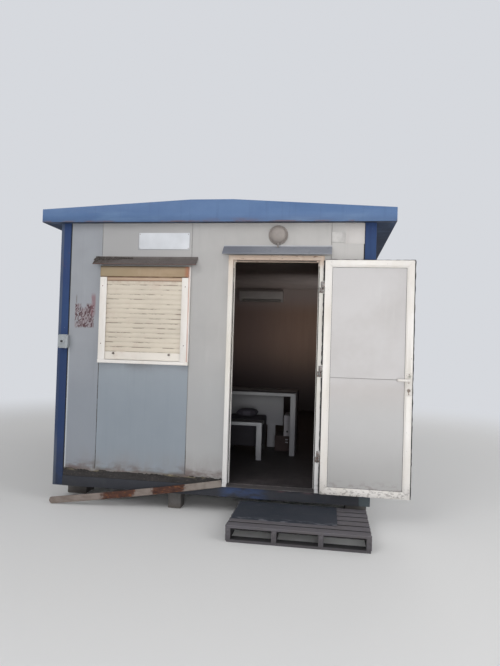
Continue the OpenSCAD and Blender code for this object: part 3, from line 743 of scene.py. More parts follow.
# A folded sheet whose paint has weathered: lighter worn patches, dark drips and spots
def sheetPaint(name, base, light, dark, spots=0.68):
    startPaint(name, base, 0.55)
    overlay(light, mottled(0.13, 0.42, 0.75, (2, 1, 1), 5, 1.0), 0.6, 0.7)
    overlay(dark, mottled(0.04, 0.5, 0.8, (1, 1, 3), 6, 3.0), 0.55, 0.7)
    mark = mottled(0.014, spots, spots + 0.05, (1.5, 1, 1), 5, 8.0)
    overlay(shade(dark, 0.7), mark, 0.8, 0.9)
    grain(0.008, 3, 0.0003, 0.5)
    waves(0.2, 0.003)


# Grey-brown on top, red primer underneath
sheetPaint("capBrown", (0.345, 0.32, 0.31), (0.42, 0.395, 0.385), (0.23, 0.20, 0.185), 0.64)
left = along("X", leftX + 0.70, leftX + 0.38)
overlay((0.24, 0.19, 0.16), (left, mottled(0.05, 0.4, 0.6, detail=6)), 0.8, 0.9)
overlay((0.34, 0.20, 0.17), along("Z", 2.2885, 2.283), 0.75, 0.8)

# Grey-blue, with painted shade towards its left end, and the paint bare along the flange on the wall
sheetPaint("capGrey", (0.49, 0.50, 0.53), (0.55, 0.56, 0.585), (0.38, 0.39, 0.42))
# painted shade: darker towards the left end
overlay((0.395, 0.41, 0.455), along("X", leftX + 2.15, leftX + 1.70), 0.7)
overlay((0.74, 0.74, 0.75), along("Y", frontY - 0.002, frontY + 0.004), 0.7)

slats = {"pitch": 0.0455, "seam": 0.0065}


def slatPaint(name, base, seams):
    startPaint(name, base, 0.45)
    overlay(shade(base, 0.93), mottled(0.20, 0.35, 0.7, (2, 1, 1), 5), 0.8)
    overlay((0.74, 0.66, 0.61), mottled(0.12, 0.5, 0.8, (1, 1, 1), 5, 4.0), 0.45)
    if seams:
        foot, top = (corner.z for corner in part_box("shutter_curtain"))
        seam = lines("Z", foot, slats["pitch"], slats["seam"])
        broken = mottled(0.08, 0.49, 0.60, (1.4, 1, 0.3), 4, 2.0)
        overlay((0.42, 0.37, 0.32), (seam, broken), 0.7, 0.8)
        overlay((0.62, 0.47, 0.37), (along("Z", top - 0.09, top), mottled(0.05, 0.45, 0.7, detail=6, seed=5)),
                0.6)
    overlay((0.47, 0.41, 0.36), mottled(0.01, 0.70, 0.75, detail=5, seed=7), 0.7)
    grain(0.006, 3, 0.0002, 0.4)


# Tan box with painted shade towards its left end, a painted shadow of the cap along its top, an orange stain
# at its right end and a brown line along its foot
startPaint("boxTan", (0.645, 0.56, 0.455), 0.55)
overlay((0.57, 0.485, 0.375), mottled(0.15, 0.35, 0.7, (2, 1, 1), 5), 0.7)
overlay((0.66, 0.59, 0.50), mottled(0.05, 0.5, 0.8, (1, 1, 3), 5, 3.0), 0.5)
# painted shade: darker towards the left end
overlay((0.53, 0.475, 0.36), along("X", leftX + 1.0, leftX + 0.42), 0.65)
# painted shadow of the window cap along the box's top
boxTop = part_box("shutter_box")[1].z
overlay((0.43, 0.37, 0.30), along("Z", boxTop - 0.035, boxTop - 0.005), 0.7)
right = along("X", leftX + 1.245, leftX + 1.275)
overlay((0.64, 0.40, 0.29), (right, mottled(0.05, 0.25, 0.5, (1, 1, 2), 5)), 0.7)
foot = along("Z", 2.178, 2.167)
overlay((0.36, 0.25, 0.18), (foot, mottled(0.07, 0.3, 0.5, (3, 1, 1), 6)), 0.85, 0.8)
grain(0.006, 3, 0.0003, 0.4)

startPaint("leafPanel", (0.735, 0.725, 0.725), 0.42)
overlay((0.69, 0.675, 0.67), mottled(0.5, 0.35, 0.7), 0.8)
overlay((0.78, 0.775, 0.77), mottled(0.06, 0.55, 0.85, (1, 1, 8), 5, 5.0), 0.4)
overlay((0.66, 0.63, 0.61), along("Z", 1.30, 1.18), 0.35)
# painted shade: cooler and darker towards the bottom
overlay((0.69, 0.70, 0.705), along("Z", 1.25, 0.9), 0.5)
low = along("Z", 0.9, 0.32)
overlay((0.57, 0.565, 0.56), low, 0.5)
overlay(dust, (along("Z", 0.42, 0.33), mottled(0.03, 0.45, 0.65, (2, 1, 1), 6, 6.0)), 0.5, 0.8)
waves(0.4, 0.003)
grain(0.005, 2, 0.0001, 0.3)


def steelPaint(name, base, rust):
    startPaint(name, base, 0.42, 0.8)
    rusty = mottled(0.012, 0.52 - rust, 0.66 - rust, detail=7, seed=3)
    overlay(rustOrange, rusty, 0.85, 0.9)
    overlay(rustDark, (rusty, mottled(0.005, 0.45, 0.6, seed=5)), 0.9, 0.95)
    unmetal(rusty)
    relief(rusty, 0.0004, 0.7)


startPaint("roofZinc", (0.62, 0.63, 0.645), 0.48, 0.6)
overlay((0.53, 0.545, 0.56), mottled(0.03, 0.42, 0.58, detail=2), 0.6)
overlay((0.50, 0.49, 0.47), mottled(0.5, 0.4, 0.75, (2, 0.6, 1), 5), 0.6, 0.7)
rusty = times(mottled(0.06, 0.52, 0.7, (3, 1, 1), 7, 4.0), mottled(0.8, 0.5, 0.65, seed=2))
overlay(rustOrange, rusty, 0.8, 0.9)
unmetal(rusty)
waves(0.6, 0.004)

# Fallen foot trim: a dirty coating with stretches of rust
trim = {"rustStretches": ((0.53, 0.85), (1.01, 1.32)), "face": 0.062, "flange": 0.014, "bend": 0.004,
        "sag": 0.010, "thickness": 0.002, "crushedEnd": 0.022}
startPaint("trimRust", (0.495, 0.455, 0.43), 0.75)
overlay((0.51, 0.48, 0.455), along("X", leftX + 1.35, leftX + 1.5), 0.8)
overlay((0.40, 0.355, 0.325), mottled(0.05, 0.42, 0.7, (2, 1, 1), 6, 1.0), 0.7, 0.85)
cloudy = mottled(0.05, 0.2, 0.8, detail=6, seed=2)
stretches = most(*(within("X", leftX + low, leftX + high, 0.06) for low, high in trim["rustStretches"]))
rusty = ramped(maths("ADD", stretches, times(cloudy, 0.7)), 0.72, 1.05)
overlay((0.275, 0.155, 0.11), rusty, 0.95, 0.95)
pits = mottled(0.035, 0.45, 0.62, (2, 1, 1), 7, 5.0)
overlay((0.20, 0.115, 0.095), (rusty, pits), 0.8)
overlay((0.48, 0.30, 0.175), (rusty, mottled(0.02, 0.54, 0.66, (2, 1, 1), 6, 9.0)), 0.85)
relief(times(rusty, pits), 0.0008, 0.7)


# Painted shade darkens the sides that face into the pallet, by the given amount, and darkens the lower boards
# and bearers towards the ground.
def timberPaint(name, lengthwise, insideShade):  # gloom darkens the sides that face into the pallet
    startPaint(name, (0.345, 0.335, 0.355), 0.85)
    stretch = (26, 1, 1) if lengthwise == "X" else (1, 26, 1)
    overlay((0.29, 0.28, 0.29), mottled(0.006, 0.42, 0.68, stretch, 6), 0.75)
    overlay((0.44, 0.43, 0.445), mottled(0.02, 0.5, 0.75, stretch, 5, 5.0), 0.6)
    overlay((0.33, 0.31, 0.31), mottled(0.2, 0.4, 0.7, detail=5, seed=3), 0.6)
    overlay(dirt, mottled(0.03, 0.56, 0.72, detail=7, seed=8), 0.6)
    low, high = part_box("pallet_boards")
    # painted shade on the sides facing into the pallet
    shadeBelow = times(along("Z", high.z - 0.004, high.z - 0.010), along("Y", low.y + 0.004, low.y + 0.02))
    overlay((0.13, 0.125, 0.13), shadeBelow, insideShade)
    overlay((0.46, 0.445, 0.47), along("Z", high.z - 0.006, high.z - 0.003), 0.3)
    # painted shade towards the ground
    overlay((0.20, 0.19, 0.20), along("Z", high.z - 0.022, 0.0), 0.55)
    relief(mottled(0.005, 0.35, 0.7, stretch, 6), 0.0012, 0.8)


startPaint("blockConcrete", (0.36, 0.35, 0.345), 0.92)
overlay((0.28, 0.27, 0.265), mottled(0.09, 0.35, 0.7, detail=7), 0.8)
overlay((0.45, 0.44, 0.43), mottled(0.012, 0.60, 0.7, detail=5, seed=3), 0.6)
overlay(dirt, along("Z", 0.06, 0.0), 0.5)
grain(0.008, 6, 0.002, 0.8)

startPaint("matDark", (0.155, 0.18, 0.22), 0.85)
overlay((0.20, 0.21, 0.245), mottled(0.22, 0.35, 0.7, detail=6), 0.7)
overlay((0.36, 0.355, 0.37), mottled(0.05, 0.58, 0.78, (2, 1, 1), 7, 4.0), 0.5, 0.9)
front = along("Y", frontY - 0.44, frontY - 0.52)
overlay((0.44, 0.44, 0.47), (front, mottled(0.03, 0.5, 0.6, (3, 1, 1), 6)), 0.75)
relief(lines("X", leftX, 0.009, 0.004), -0.0012, 0.6)
grain(0.004, 4, 0.0006, 0.7)

# Packed soil and crumbled foam behind the missing foot trim
startPaint("packedDirt", (0.21, 0.20, 0.20), 0.95)
overlay((0.17, 0.16, 0.155), mottled(0.05, 0.4, 0.65, (2, 1, 1), 7), 0.85)
overlay((0.36, 0.335, 0.31), mottled(0.015, 0.55, 0.70, (2, 1, 1), 6, 3.0), 0.6)
pale = most(within("X", leftX + 0.16, leftX + 0.50, 0.06), within("X", leftX + 1.10, leftX + 1.5, 0.08))
foam = times(pale, along("Z", 0.296, 0.318), mottled(0.03, 0.46, 0.58, (3, 1, 1), 6, 7.0))
overlay((0.58, 0.54, 0.45), foam, 0.8)
grain(0.006, 6, 0.003, 0.9)

startPaint("floorBrown", (0.18, 0.165, 0.172), 0.65)
overlay((0.135, 0.122, 0.127), mottled(0.012, 0.4, 0.7, (1, 24, 1), 5), 0.6)
overlay((0.28, 0.255, 0.26), mottled(0.25, 0.5, 0.75, detail=6, seed=3), 0.6, 0.65)
door = times(along("Y", frontY + 1.2, frontY + 0.1), within("X", leftX + 1.75, leftX + 2.5, 0.1))
overlay((0.33, 0.305, 0.31), (door, mottled(0.12, 0.35, 0.65, detail=6, seed=6)), 0.6, 0.75)
overlay((0.12, 0.10, 0.095), lines("X", leftX, 0.12, 0.002), 0.7)


# Painted shade dulls the parts further back and darkens the legs towards the floor.
def tablePaint(name, base, boxed):  # pale edges and legs, a dark worn top, and a duller back panel
    plainPaint(name, base, 0.6, size=0.3, contrast=0.95, grime=0.1)
    low, high = boxed
    top = times(along("Z", high.z - 0.0022, high.z - 0.0012), along("Y", low.y + 0.001, low.y + 0.002))
    overlay((0.25, 0.23, 0.235), top, 0.9, 0.6)
    # painted shade on the parts further back
    overlay(shade(base, 0.92), along("Y", low.y + 0.2, low.y + 0.3))
    # painted shade towards the floor
    overlay((0.40, 0.40, 0.43), along("Z", high.z - 0.1, high.z - 0.45), 0.6)


# Woven upholstery with painted shade low on the seat and a paler patch on the front of the cushion
startPaint("seatFabric", (0.205, 0.19, 0.225), 0.92)
overlay((0.155, 0.145, 0.175), mottled(0.12, 0.35, 0.7, detail=5), 0.8)
# painted shade on the lower seat
overlay((0.10, 0.095, 0.11), along("Z", 0.66, 0.54), 0.85)
patch = times(within("X", leftX + 1.595, leftX + 1.685, 0.012), within("Z", 0.70, 0.755, 0.01),
              along("Y", frontY + 1.60, frontY + 1.57))
overlay((0.31, 0.30, 0.335), patch, 0.8)
weave = times(lines("X", leftX, 0.003, 0.0012), lines("Z", 0, 0.003, 0.0012))
overlay((0.28, 0.265, 0.30), weave, 0.4)
relief(weave, 0.0006, 0.6)
grain(0.02, 4, 0.002, 0.4)

startPaint("clearGlass", (0.90, 0.93, 0.92), 0.04, Transmission_Weight=1.0, IOR=1.5)
overlay((0.72, 0.72, 0.68), mottled(0.06, 0.5, 0.8, (1, 1, 2), 6), 0.5, 0.25)

# The finishes without marks of their own, and the leaf's gaskets with their pale seam

leafBead = {"stile": 0.064, "recess": 0.008, "width": 0.003, "seamZ": 1.291}

panelPaint("panelGrey", (0.705, 0.695, 0.685))
whitePaint("frameWhite", (0.875, 0.86, 0.845))
whitePaint("leafWhite", (0.88, 0.865, 0.85), 0.68, 0.15)
slatPaint("slatCream", (0.80, 0.76, 0.70), True)
slatPaint("barCream", (0.85, 0.825, 0.79), False)
plainPaint("lampGrey", (0.55, 0.52, 0.50), 0.5, size=0.06, contrast=0.88)
plainPaint("boxWhite", (0.60, 0.62, 0.635), 0.4, size=0.05, contrast=0.86)
plainPaint("rubberBlack", (0.12, 0.12, 0.125), 0.7, size=0.03)
plainPaint("gasketGrey", (0.34, 0.33, 0.33), 0.7, size=0.03)
overlay((0.50, 0.485, 0.48), within("Z", leafBead["seamZ"] - 0.004, leafBead["seamZ"] + 0.004, 0.002), 0.9)
plainPaint("lipGrey", (0.20, 0.195, 0.20), 0.7, size=0.03)
# painted shade: the white desk and table are given in grey
tablePaint("furnitureWhite", (0.60, 0.60, 0.61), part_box("desk"))
tablePaint("tableWhite", (0.62, 0.625, 0.64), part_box("side_table"))
plainPaint("drawerBrown", (0.19, 0.145, 0.145), 0.88, size=0.1)
plainPaint("unitWhite", (0.66, 0.635, 0.62), 0.6, size=0.2, contrast=0.94, grime=0.1)
# painted shade: a darker copy of the unit white for the pale tower
plainPaint("towerGrey", (0.52, 0.51, 0.53), 0.75, size=0.1, contrast=0.94, grime=0.1)
plainPaint("ceilingBoard", (0.75, 0.70, 0.68), 0.8, size=0.5, contrast=0.9, grime=0.2)
plainPaint("stopperBrown", (0.40, 0.36, 0.33), 0.6, size=0.02)
steelPaint("hingeSteel", (0.50, 0.49, 0.48), 0.0)
steelPaint("rustySteel", (0.42, 0.38, 0.36), 0.12)
plainPaint("keySteel", (0.60, 0.55, 0.50), 0.55, size=0.012, contrast=0.8)
timberPaint("boardTimber", "X", 0.85)
timberPaint("bearerTimber", "Y", 0.9)
print("finishes mixed")

# CAD nodes that keep their own shape take a finish; others get a copy with rounded edges.

keptShapes = {
    "panelGrey": ("front_wall_over_window", "front_wall_middle", "front_wall_over_door", "front_wall_right",
                  "left_wall", "right_wall", "back_wall"),
    "smearedGrey": ("front_wall_left",), "panelBlue": ("front_wall_under_window",),
    "railBlue": ("floor_joists", "top_rails"), "floorBrown": ("floor_deck",), "ceilingBoard": ("ceiling",),
    "roofZinc": ("roof_sheets",), "clearGlass": ("window_glass",), "leafPanel": ("leaf_panels",)}
roundedShapes = (
    ("corner_posts", 0.006, "steelBlue", "frame_blue"), ("base_rails", 0.002, "railBlue", "frame_blue"),
    ("end_fascias", 0.0012, "fasciaBlue", "frame_blue"), ("side_eaves", 0.0012, "fasciaBlue", "frame_blue"),
    ("ridge_cap", 0.001, "fasciaBlue", "frame_blue"), ("door_frame", 0.002, "stainedHead", "frame_white"),
    ("leaf_frame", 0.002, "leafWhite", "frame_white"), ("foot_trims", 0.0007, "frameWhite", "frame_white"),
    ("shutter_guides", 0.0015, "guideWhite", "frame_white"),
    ("window_sill", 0.002, "frameWhite", "frame_white"),
    ("window_sash", 0.0015, "frameWhite", "frame_white"), ("shutter_box", 0.0015, "boxTan", "box_tan"),
    ("shutter_curtain", 0.0003, "slatCream", "shutter_cream"),
    ("window_cap", 0.001, "capBrown", "cap_brown"),
    ("shutter_bottom_bar", 0.0008, "barCream", "shutter_cream"), ("door_cap", 0.001, "capGrey", "cap_grey"),
    ("sign_plate", 0.0008, "signWhite", "sign_white"), ("junction_box", 0.003, "boxWhite", "box_white"),
    ("frame_hinges", 0.0008, "hingeSteel", "hinge_steel"), ("leaf_seal", 0.002, "rubberBlack", "mat_dark"),
    ("lock_plates", 0.0009, "lockWhite", "frame_white"),
    ("desk", 0.0015, "furnitureWhite", "furniture_white"),
    ("side_table", 0.0015, "tableWhite", "furniture_white"),
    ("air_conditioner", 0.002, "unitWhite", "unit_white"),
    ("door_handle", 0.0004, "leafWhite", "frame_white"),
    ("leaf_hinges", 0.0008, "hingeSteel", "hinge_steel"))
movingNodes = {"leaf_frame": "door", "leaf_seal": "door", "lock_plates": "door", "leaf_hinges": "door",
               "door_handle": "handle"}

for paintName, nodes in keptShapes.items():
    for node in nodes:
        dressed(node, paintName)
for node, width, paintName, slot in roundedShapes:
    piece = wornCopy(node, width)
    if node == "leaf_hinges":  # clear of the jamb when the door is shut
        piece.data.transform(Matrix.Translation((0, 0.0003, 0)))
    settled(piece, movingNodes.get(node, "cabin"), paintName, slot, node)
print("frames and panels finished")

# Front wall: the skin has rotted along its foot, where the trim has come off.

rot = {"left": 0.112, "right": 1.664, "skinFoot": 0.328, "reach": 0.020, "bottom": 0.2505, "overlap": 0.004}
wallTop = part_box("end_fascias")[0].z + 0.004


def buildRottenFoot():
    width, top = rot["right"] - rot["left"], rot["skinFoot"] + rot["overlap"]

    def edge(u, v):
        x = rot["left"] + u * width
        fray = 0.5 + wobble(x * 9) + 0.45 * wobble(x * 41, 3)
        curl = 0.0015 * v * wobble(x * 13, 7)
        hang = rot["reach"] * max(0.05, min(1.3, fray))
        return spot(x, skinBack - 0.0004 + curl, top - v * (rot["overlap"] + hang))

    def soil(u, v):
        x = rot["left"] - 0.012 + u * (width + 0.013)
        z = rot["bottom"] + v * (top - rot["bottom"])
        lump = wobble(x * 16, z * 40) + 0.5 * wobble(x * 60, z * 90, 5)
        return spot(x, 0.0165 - 0.0055 * lump - 0.007 * (1 - v) ** 3, z)

    skin = smoothed(sheetGrid("frayed_skin", 420, 3, 0.0008, edge))
    settled(skin, "cabin", panelPaint("frayedSkin", (0.58, 0.57, 0.56)), "panel_grey")
    settled(smoothed(sheetGrid("foot_dirt", 300, 14, 0.004, soil), 60), "cabin", "packedDirt", "floor_brown")


postSealShade = {"post": 0.1, "bead": 0.011, "proud": 0.0012, "lap": 0.001}


# The dark strips are sealant that also stands for the shade in the recess between the posts and the skins.
def buildPostSealShades():  # dark sealant between the corner posts and the skins
    bead, lap, proud = postSealShade["bead"], postSealShade["lap"], postSealShade["proud"]

    def besidePosts(length):
        return postSealShade["post"] - lap, length - postSealShade["post"] - bead + lap

    def onSkins(length):
        return (skinBack - proud, skinBack + lap), (length - skinBack - lap, length - skinBack + proud)

    low, high = rot["skinFoot"] - 0.01, wallTop
    strips = [block("seal", spot(x, y0, low), spot(x + bead, y1, high))
              for x in besidePosts(cabinWidth) for y0, y1 in onSkins(cabinLength)]
    strips += [block("seal", spot(x0, y, low), spot(x1, y + bead, high))
               for y in besidePosts(cabinLength) for x0, x1 in onSkins(cabinWidth)]
    rubbery(rounded(united("post_seals_and_shade", strips), 0.0008, 1))


joints = {"window": (0.423, 1.307), "right": 2.604, "back": (1.0333, 1.9667), "sideFirst": 0.1,
          "sidePitch": 1.16, "width": 0.0065, "thickness": 0.0014}


def buildJointSeals():  # dark sealant in the grooves between panels, ragged and lost in places
    foot, trimTop = rot["skinFoot"] + rot["overlap"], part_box("foot_trims")[1].z
    sill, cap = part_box("window_sill")[0].z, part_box("window_cap")[1].z - 0.01
    across = Vector((1, 0, 0))
    runs = [(spot(x, skinBack, 0), across, low, high)
            for x in joints["window"] for low, high in ((foot, sill), (cap, wallTop))]
    runs += [(spot(joints["right"], skinBack, 0), across, trimTop, wallTop)]
    runs += [(spot(x, cabinLength - skinBack, 0), across, trimTop, wallTop) for x in joints["back"]]
    runs += [(spot(x, joints["sideFirst"] + joints["sidePitch"] * i, 0), Vector((0, 1, 0)), trimTop, wallTop)
             for x in (skinBack, cabinWidth - skinBack) for i in range(1, 5)]
    beads = []
    for place, side, low, high in runs:
        def placed(u, v):
            z = low + u * (high - low)
            ragged = 0.6 + 0.9 * wobble(place.x * 7, place.y * 3, z * 4)
            ragged += 0.5 * wobble(place.x * 5, place.y, z * 40)
            aside = joints["width"] * (v - 0.5) * max(0.12, min(1, ragged))
            return Vector((place.x, place.y, z)) + side * aside

        beads.append(sheetGrid("bead", 110, 1, joints["thickness"], placed))
    settled(united("joint_seals", beads), "cabin", "jointDark", "mat_dark")


# The left, right, foot and top of each
patches = {"cover": (2.606, 2.722, 2.505, 2.602), "sheet": (2.727, 2.896, 2.494, 2.680)}


def buildPatches():  # a square cover plate and a lapped sheet at the top right of the front
    x0, x1, z0, z1 = patches["cover"]
    cover = block("cover_plate", spot(x0, skinBack - 0.004, z0), spot(x1, skinBack + 0.001, z1))
    insetPush(cover, toFront, 0.006, 0.001)
    settled(rounded(cover, 0.0012), "cabin", plainPaint("coverGrey", (0.74, 0.73, 0.72), 0.45), "panel_grey")
    x0, x1, z0, z1 = patches["sheet"]
    lap = block("lapped_sheet", spot(x0, skinBack - 0.0015, z0), spot(x1, skinBack + 0.001, z1))
    settled(rounded(lap, 0.0005), "cabin", panelPaint("lappedGrey", (0.74, 0.725, 0.715)), "panel_grey")


def buildSign():
    low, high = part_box("sign_plate")
    inset = 0.014
    screws("sign_screws", [(x, low.y, z) for x in (low.x + inset, high.x - inset)
                           for z in (low.z + inset, high.z - inset)], height=0.002)


junctionBox = {"plateRadius": 0.026, "knobRadius": 0.011, "knobReach": 0.016, "screwInset": 0.012}


def buildJunctionBox():
    low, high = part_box("junction_box")
    centre = Vector(((low.x + high.x) / 2 - 0.008, low.y, (low.z + high.z) / 2))
    plate = rod("box_plate", centre + Vector((0, 0.001, 0)), centre + Vector((0, -0.004, 0)),
                junctionBox["plateRadius"], 32)
    settled(rounded(plate, 0.0015), "cabin", "boxWhite", "box_white")
    knob = rod("box_knob", centre, centre + Vector((0, -junctionBox["knobReach"], 0)),
               junctionBox["knobRadius"], 24, junctionBox["knobRadius"] - 0.002)
    rubbery(rounded(insetPush(knob, toFront, 0.003, -0.004), 0.0012))
    inset = junctionBox["screwInset"]
    screws("box_screws", [(low.x + inset, low.y, low.z + inset), (high.x - inset, low.y, high.z - inset)],
           radius=0.0035)


lamp = {"x": 2.118, "z": 2.571, "baseRadius": 0.090, "domeRadius": 0.080, "depth": 0.066,
        "clipTurns": (30, 150, 270), "glandTop": ((-0.014, -0.082), 0.009),
        "glandFoot": ((-0.022, 2.453), 0.006)}


def buildLamp():
    def at(out):
        return spot(lamp["x"], skinBack - out, lamp["z"])

    outer, inner = lamp["baseRadius"], lamp["domeRadius"]
    base = rounded(rod("lamp_base", at(-0.0005), at(0.018), outer, 64, outer - 0.002), 0.004, 3)
    ring = rod("lamp_ring", at(0.016), at(0.027), outer - 0.004, 64, inner + 0.001)
    insetPush(ring, toFront, 0.006, -0.004)
    dome = ball("lamp_dome", at(0.022), (inner - 0.006, lamp["depth"] - 0.022, inner - 0.006), 64)
    (topY, topZ), topRadius = lamp["glandTop"]
    (footY, footZ), footRadius = lamp["glandFoot"]
    gland = rod("lamp_gland", spot(lamp["x"], topY, lamp["z"] + topZ), spot(lamp["x"], footY, footZ),
                topRadius, 20, footRadius)
    clip = rounded(block("clip", (-0.007, -0.006, -0.010), (0.007, 0.004, 0.010)), 0.002)
    spokes = [Vector((math.cos(turn), 0, math.sin(turn))) for turn in map(math.radians, lamp["clipTurns"])]
    clips = copied("lamp_clips", clip, [at(0.022) + spoke * (outer - 0.008) for spoke in spokes])
    body = united("lamp_body", [base, rounded(ring, 0.0015), rounded(gland, 0.001), clips])
    settled(body, "cabin", "lampGrey", "lamp_grey", "round_lamp")
    glass = plainPaint("lampGlass", (0.575, 0.545, 0.525), 0.42, size=0.07, contrast=0.92)
    settled(smoothed(dome, 60), "cabin", glass, "lamp_grey")


# Roller shutter: screws, stoppers, the strip under the box, dirt on the cap

shutter = {"guideScrews": ((0.450, 1.53), (0.450, 2.08), (1.262, 1.53), (1.262, 2.08)), "guideFace": -0.022,
           "stopperX": (0.576, 1.122), "stopperZ": 1.440, "stopperReach": 0.017,
           "stopperRadii": (0.0105, 0.009), "lipDrop": 0.032, "lipInset": 0.012}


def buildShutterParts():
    screws("guide_screws", [spot(x, shutter["guideFace"], z) for x, z in shutter["guideScrews"]],
           radius=0.005, height=0.0022)
    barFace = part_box("shutter_bottom_bar")[0].y + 0.003
    radius, tip = shutter["stopperRadii"]
    stopper = rod("stopper", (0, 0.002, 0), (0, -shutter["stopperReach"], 0), radius, 24, tip)
    insetPush(stopper, toFront, 0.004, -0.002)
    places = [Vector((leftX + x, barFace, shutter["stopperZ"])) for x in shutter["stopperX"]]
    settled(copied("shutter_stoppers", rounded(stopper, 0.0015), places), "cabin", "stopperBrown", "mat_dark")
    foot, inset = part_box("shutter_box")[0].z, shutter["lipInset"]
    curtainLow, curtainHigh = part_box("shutter_curtain")
    lip = block("box_lip", (curtainLow.x + inset, curtainLow.y - 0.0045, foot - shutter["lipDrop"]),
                (curtainHigh.x - inset, curtainLow.y - 0.0025, foot + 0.002))
    insetPush(lip, (0, 0, -1), 0.0003, 0.003)
    slatPaint("lipPeach", (0.70, 0.60, 0.51), False)
    brown = most(along("Z", foot - 0.008, foot), along("Z", foot - 0.024, foot - 0.031))
    overlay((0.45, 0.345, 0.275), brown, 0.7, 0.8)
    settled(rounded(lip, 0.0005), "cabin", "lipPeach", "box_tan")


debris = {"from": 0.366, "to": 0.735, "count": 74, "capTop": 2.351, "slope": 0.81, "shape": (1.5, 0.8, 0.9)}


def buildDebris():  # mud and old leaves caught behind the window cap
    lumps = []
    for i in range(debris["count"]):
        across = (i + random.uniform(-0.4, 0.4)) / debris["count"]
        x = debris["from"] + across * (debris["to"] - debris["from"])
        down = random.uniform(0, 0.03) * (1.15 - across)
        place = spot(x, skinBack - 0.004 - down, debris["capTop"] - down * debris["slope"] + 0.002)
        radii = [random.uniform(0.005, 0.013) * (1.2 - 0.6 * across) * s for s in debris["shape"]]
        lump = shaken(ball("lump", (0, 0, 0), radii, 10), 0.006, 0.008, i)
        turn = Matrix.Rotation(random.uniform(0, 3), 4, "X") @ Matrix.Rotation(random.uniform(0, 3), 4, "Z")
        lump.data.transform(Matrix.Translation(place) @ turn)
        lumps.append(lump)
    capDirt = plainPaint("capDirt", (0.34, 0.315, 0.30), 0.95, size=0.012, contrast=0.5)
    settled(smoothed(united("cap_debris", lumps), 60), "cabin", capDirt, "cap_brown")


# Doorway and leaf

leafLow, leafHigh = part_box("leaf_frame")
doorway = {"left": 1.708, "right": 2.504, "head": 2.339, "foot": 0.262, "stopY": 0.025, "gasket": 0.008,
           "proud": 0.003}


def ribbon(name, points, width, thickness):  # a soft torn strip that follows the points
    count = len(points) - 1

    def placed(u, v):
        step = min(count - 1, int(u * count))
        here = points[step].lerp(points[step + 1], u * count - step)
        ragged = 1 - 0.5 * u + 0.3 * noise.noise(here * 90)
        return here + Vector((width * (v - 0.5) * ragged, 0.0015 * math.sin(v * 5 + u * 9), 0))

    return sheetGrid(name, 24, 5, thickness, placed)


def buildGaskets():
    left, right, head, foot, gasket = (doorway[key] for key in ("left", "right", "head", "foot", "gasket"))
    y0, y1 = doorway["stopY"] - doorway["proud"], doorway["stopY"] + 0.001
    strips = [block("gasket", spot(x0, y0, z0), spot(x1, y1, z1)) for x0, x1, z0, z1 in (
        (left + 0.001, left + gasket, foot, head - 0.07), (right - gasket, right - 0.001, foot, head - 0.05),
        (left + 0.03, right - 0.03, head - gasket, head - 0.001))]
    rubbery(rounded(united("stop_gaskets", strips), 0.0012))
    torn = []
    for x, lean, drop in ((left + 0.006, 0.003, 0.20), (left + 0.010, 0.005, 0.07),
                          (right - 0.007, -0.004, 0.11)):
        points = [spot(x + lean * math.sin(k * 0.9), doorway["stopY"] - 0.0015 - 0.001 * (k % 2),
                       head - 0.004 - drop * k / 6) for k in range(7)]
        torn.append(ribbon("torn", points, 0.006, 0.0012))
    paintName = plainPaint("tornWhite", (0.78, 0.76, 0.72), 0.7, size=0.02)
    settled(smoothed(united("torn_gaskets", torn), 60), "cabin", paintName, "frame_white")


leafLip = {"hinges": (0.576, 1.339, 2.094), "hingeHalf": 0.058, "reach": 0.0145, "footReach": 0.007,
           "headReach": 0.0105, "hingeReach": 0.014, "thickness": 0.0016}


def buildLeafLip():  # worn rubber lip on the leaf's outer face, cut away at the hinges
    left, right, foot, head = leafLow.x, leafHigh.x, leafLow.z, leafHigh.z
    half = leafLip["hingeHalf"]
    cuts = [foot] + [level + side for level in leafLip["hinges"] for side in (-half, half)] + [head]
    runs = [((right, foot), (right, head), (leafLip["reach"], 0)),
            ((left, foot), (right, foot), (0, -leafLip["footReach"])),
            ((left, head), (right + 0.013, head), (0, leafLip["headReach"]))]
    runs += [((left, low), (left, high), (-leafLip["hingeReach"], 0))
             for low, high in zip(cuts[::2], cuts[1::2])]
    lip = []
    for start, end, out in runs:
        def placed(u, v):
            x, z = (a + (b - a) * u for a, b in zip(start, end))
            ragged = 1 + 0.3 * wobble(x * 25, 0, z * 25) if v > 0.9 else 1
            reach = (v * 1.6 - 0.6) * ragged
            return Vector((x + out[0] * reach, leafHigh.y + 0.001 - 0.0006 * (v < 0.3), z + out[1] * reach))

        lip.append(sheetGrid("lip", 70, 4, leafLip["thickness"], placed))
    settled(united("leaf_lip", lip), "door", "lipGrey", "mat_dark")


def buildLeafGaskets():  # round both panels of the leaf, on both faces, and in the seam between them
    inner, seamZ, rings = leafBead["stile"], leafBead["seamZ"], []
    x0, x1, z0, z1 = leafLow.x + inner, leafHigh.x - inner, leafLow.z + inner, leafHigh.z - inner
    for side, edge in ((-1, leafLow.y), (1, leafHigh.y)):
        face = edge - side * leafBead["recess"]
        rings.append(opened(block("bead", (x0, face - side * 0.0003, z0), (x1, face + side * 0.0015, z1)), 1,
                            leafBead["width"]))
        near, far = sorted((face, face - side * 0.0008))
        rings.append(block("seam", (x0, near - 0.001, seamZ - 0.0015), (x1, far - 0.0001, seamZ + 0.0015)))
    settled(united("leaf_gaskets", rings), "door", "gasketGrey", "mat_dark")


